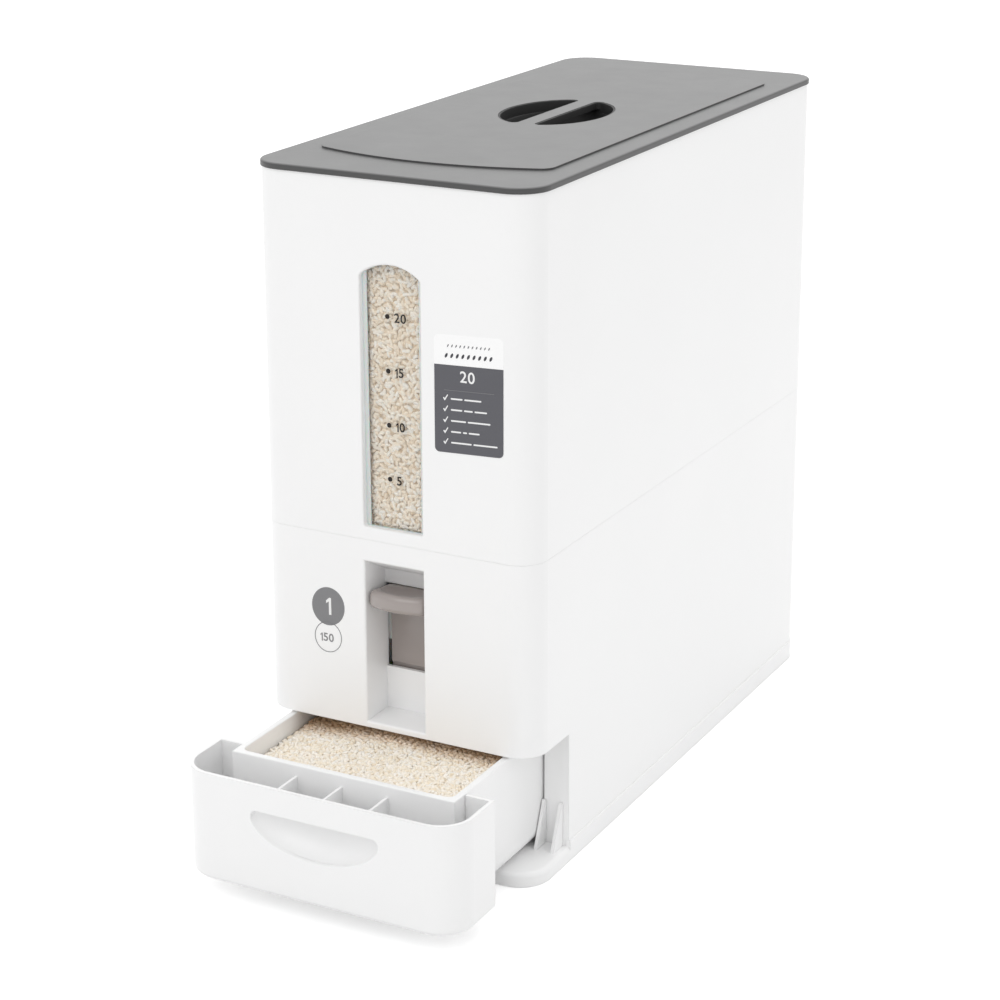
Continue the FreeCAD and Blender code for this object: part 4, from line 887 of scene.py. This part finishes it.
WINDOW_RICE_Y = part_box("window_pane")[1].y / MM
WINDOW_RICE = (-27.0, 25.0, 208.0, 380.0)
BED_BEHIND = 2.2              # behind the pane, so that the grains in front of it show
rice_block("bin_rice_bed", -BIN_INSIDE_X, BIN_INSIDE_X, WINDOW_RICE_Y + BED_BEHIND,
           BIN_INSIDE_Y, BIN_CORNER, bin_rice_z, hopper_z, 40, 90, depth_finish, "stand")
for layer, depth, pitch, seed, finish in (("rear", 2.3, 2.5, 21, window_shade_finish),
                                          ("front", 1.35, 2.75, 22, window_grain_finish)):
    spots = grain_spots(*WINDOW_RICE, pitch, seed)
    scatter_grains("window_rice_grains_" + layer,
                   [(x, WINDOW_RICE_Y + depth, z) for x, z in spots], (0, -1, 0), seed, "stand",
                   finish, lean=0.12)
TOP_PITCH = 4.0
TOP_LIFT = 0.4                # of the grains' middles above the rice's body
TOP_SEED = 31
spots = grain_spots(-BIN_INSIDE_X + 2, BIN_INSIDE_X - 2, -BIN_INSIDE_Y + 4, BIN_INSIDE_Y - 2,
                    TOP_PITCH, TOP_SEED, BIN_CORNER)
scatter_grains("bin_top_grains", [(x, y, bin_rice_z(x, y) + TOP_LIFT) for x, y in spots],
               (0, 0, 1), TOP_SEED, "stand", grain_finish, rings=(6, 4))


# ---- floor, light and camera ----
def seen_ray(tree):
    """1 for what the camera sees straight, in a gloss or through a clear piece, and 0 for light
    that only falls on the object."""
    rays = add(tree, "LightPath").node.outputs
    either = add(tree, "Math", {"operation": "MAXIMUM"},
                 {0: rays["Is Glossy Ray"], 1: rays["Is Transmission Ray"]})
    return add(tree, "Math", {"operation": "MAXIMUM"}, {0: rays["Is Camera Ray"], 1: either})


def pale_floor():
    """Matt white paper sweep: it takes the object's shadow, and a constant glow that only the
    camera sees makes its unshaded parts read as white."""
    made, tree = new_material("studio_floor")
    paper = add(tree, "BsdfDiffuse", {}, {"Color": linear("#E8E8E8")})
    strength = add(tree, "Math", {"operation": "MULTIPLY"}, {0: seen_ray(tree), 1: 0.48})
    glow = add(tree, "Emission", {}, {"Color": linear("#FFFFFF"), "Strength": strength})
    both = add(tree, "AddShader", {}, {0: paper, 1: glow})
    add(tree, "OutputMaterial", {}, {"Surface": both})
    return made


def studio_world():
    """White room whose light on the object is a little dimmer than it looks."""
    world = bpy.data.worlds.new("studio_world")
    bpy.context.scene.world = world
    world.use_nodes = True
    tree = world.node_tree
    tree.nodes.clear()
    strength = add(tree, "MapRange", {}, {"Value": seen_ray(tree), "To Min": 0.84, "To Max": 1.0})
    room = add(tree, "Background", {}, {"Color": linear("#FFFFFF"), "Strength": strength})
    add(tree, "OutputWorld", {}, {"Surface": room})


def softbox(name, place, target, size, power):
    """Square lamp of a size in metres, aimed at a target."""
    lamp = bpy.data.lights.new(name, "AREA")
    lamp.shape = "SQUARE"
    lamp.size = size
    lamp.energy = power
    holder = bpy.data.objects.new(name, lamp)
    bpy.context.scene.collection.objects.link(holder)
    holder.location = place
    aim = Vector(target) - Vector(place)
    holder.rotation_euler = aim.to_track_quat("-Z", "Y").to_euler()


FLOOR_RADIUS = 9.0
FLOOR_DROP = 0.0005           # keeps the floor clear of the feet's undersides
floor_form = bmesh.new()
bmesh.ops.create_circle(floor_form, cap_ends=True, segments=96, radius=FLOOR_RADIUS)
floor_mesh = to_mesh("studio_floor", floor_form, False)
floor_mesh.materials.append(pale_floor())
floor = bpy.data.objects.new("studio_floor", floor_mesh)
floor.location.z = -FLOOR_DROP
bpy.context.scene.collection.objects.link(floor)

studio_world()
softbox("key_softbox", (-0.4, -2.1, 2.4), (0, -0.05, 0.25), 1.7, 13)
softbox("top_softbox", (0.0, 0.6, 2.1), (0, 0.05, 0.2), 1.7, 11)
softbox("side_softbox", (2.6, -0.5, 1.4), (0, 0, 0.2), 1.6, 1.5)
softbox("rear_softbox", (-1.3, 2.6, 1.5), (0, 0.1, 0.35), 1.6, 1.5)

CAMERA_PLACE = (0.70230, -1.40491, 0.71108)
CAMERA_YAW, CAMERA_PITCH, CAMERA_ROLL = (math.radians(a) for a in (-27.904, 19.065, -0.170))
lens = bpy.data.cameras.new("camera")
lens.sensor_width = 36.0
lens.lens = 89.63
camera = bpy.data.objects.new("camera", lens)
bpy.context.scene.collection.objects.link(camera)
forward = Vector((math.sin(CAMERA_YAW) * math.cos(CAMERA_PITCH),
                  math.cos(CAMERA_YAW) * math.cos(CAMERA_PITCH), -math.sin(CAMERA_PITCH)))
level = Vector((math.cos(CAMERA_YAW), -math.sin(CAMERA_YAW), 0))
upright = level.cross(forward)
right = math.cos(CAMERA_ROLL) * level + math.sin(CAMERA_ROLL) * upright
up = -math.sin(CAMERA_ROLL) * level + math.cos(CAMERA_ROLL) * upright
turn = Matrix((right, up, -forward)).transposed().to_4x4()
camera.matrix_world = Matrix.Translation(CAMERA_PLACE) @ turn
bpy.context.scene.camera = camera
bpy.context.scene.view_settings.view_transform = "Standard"
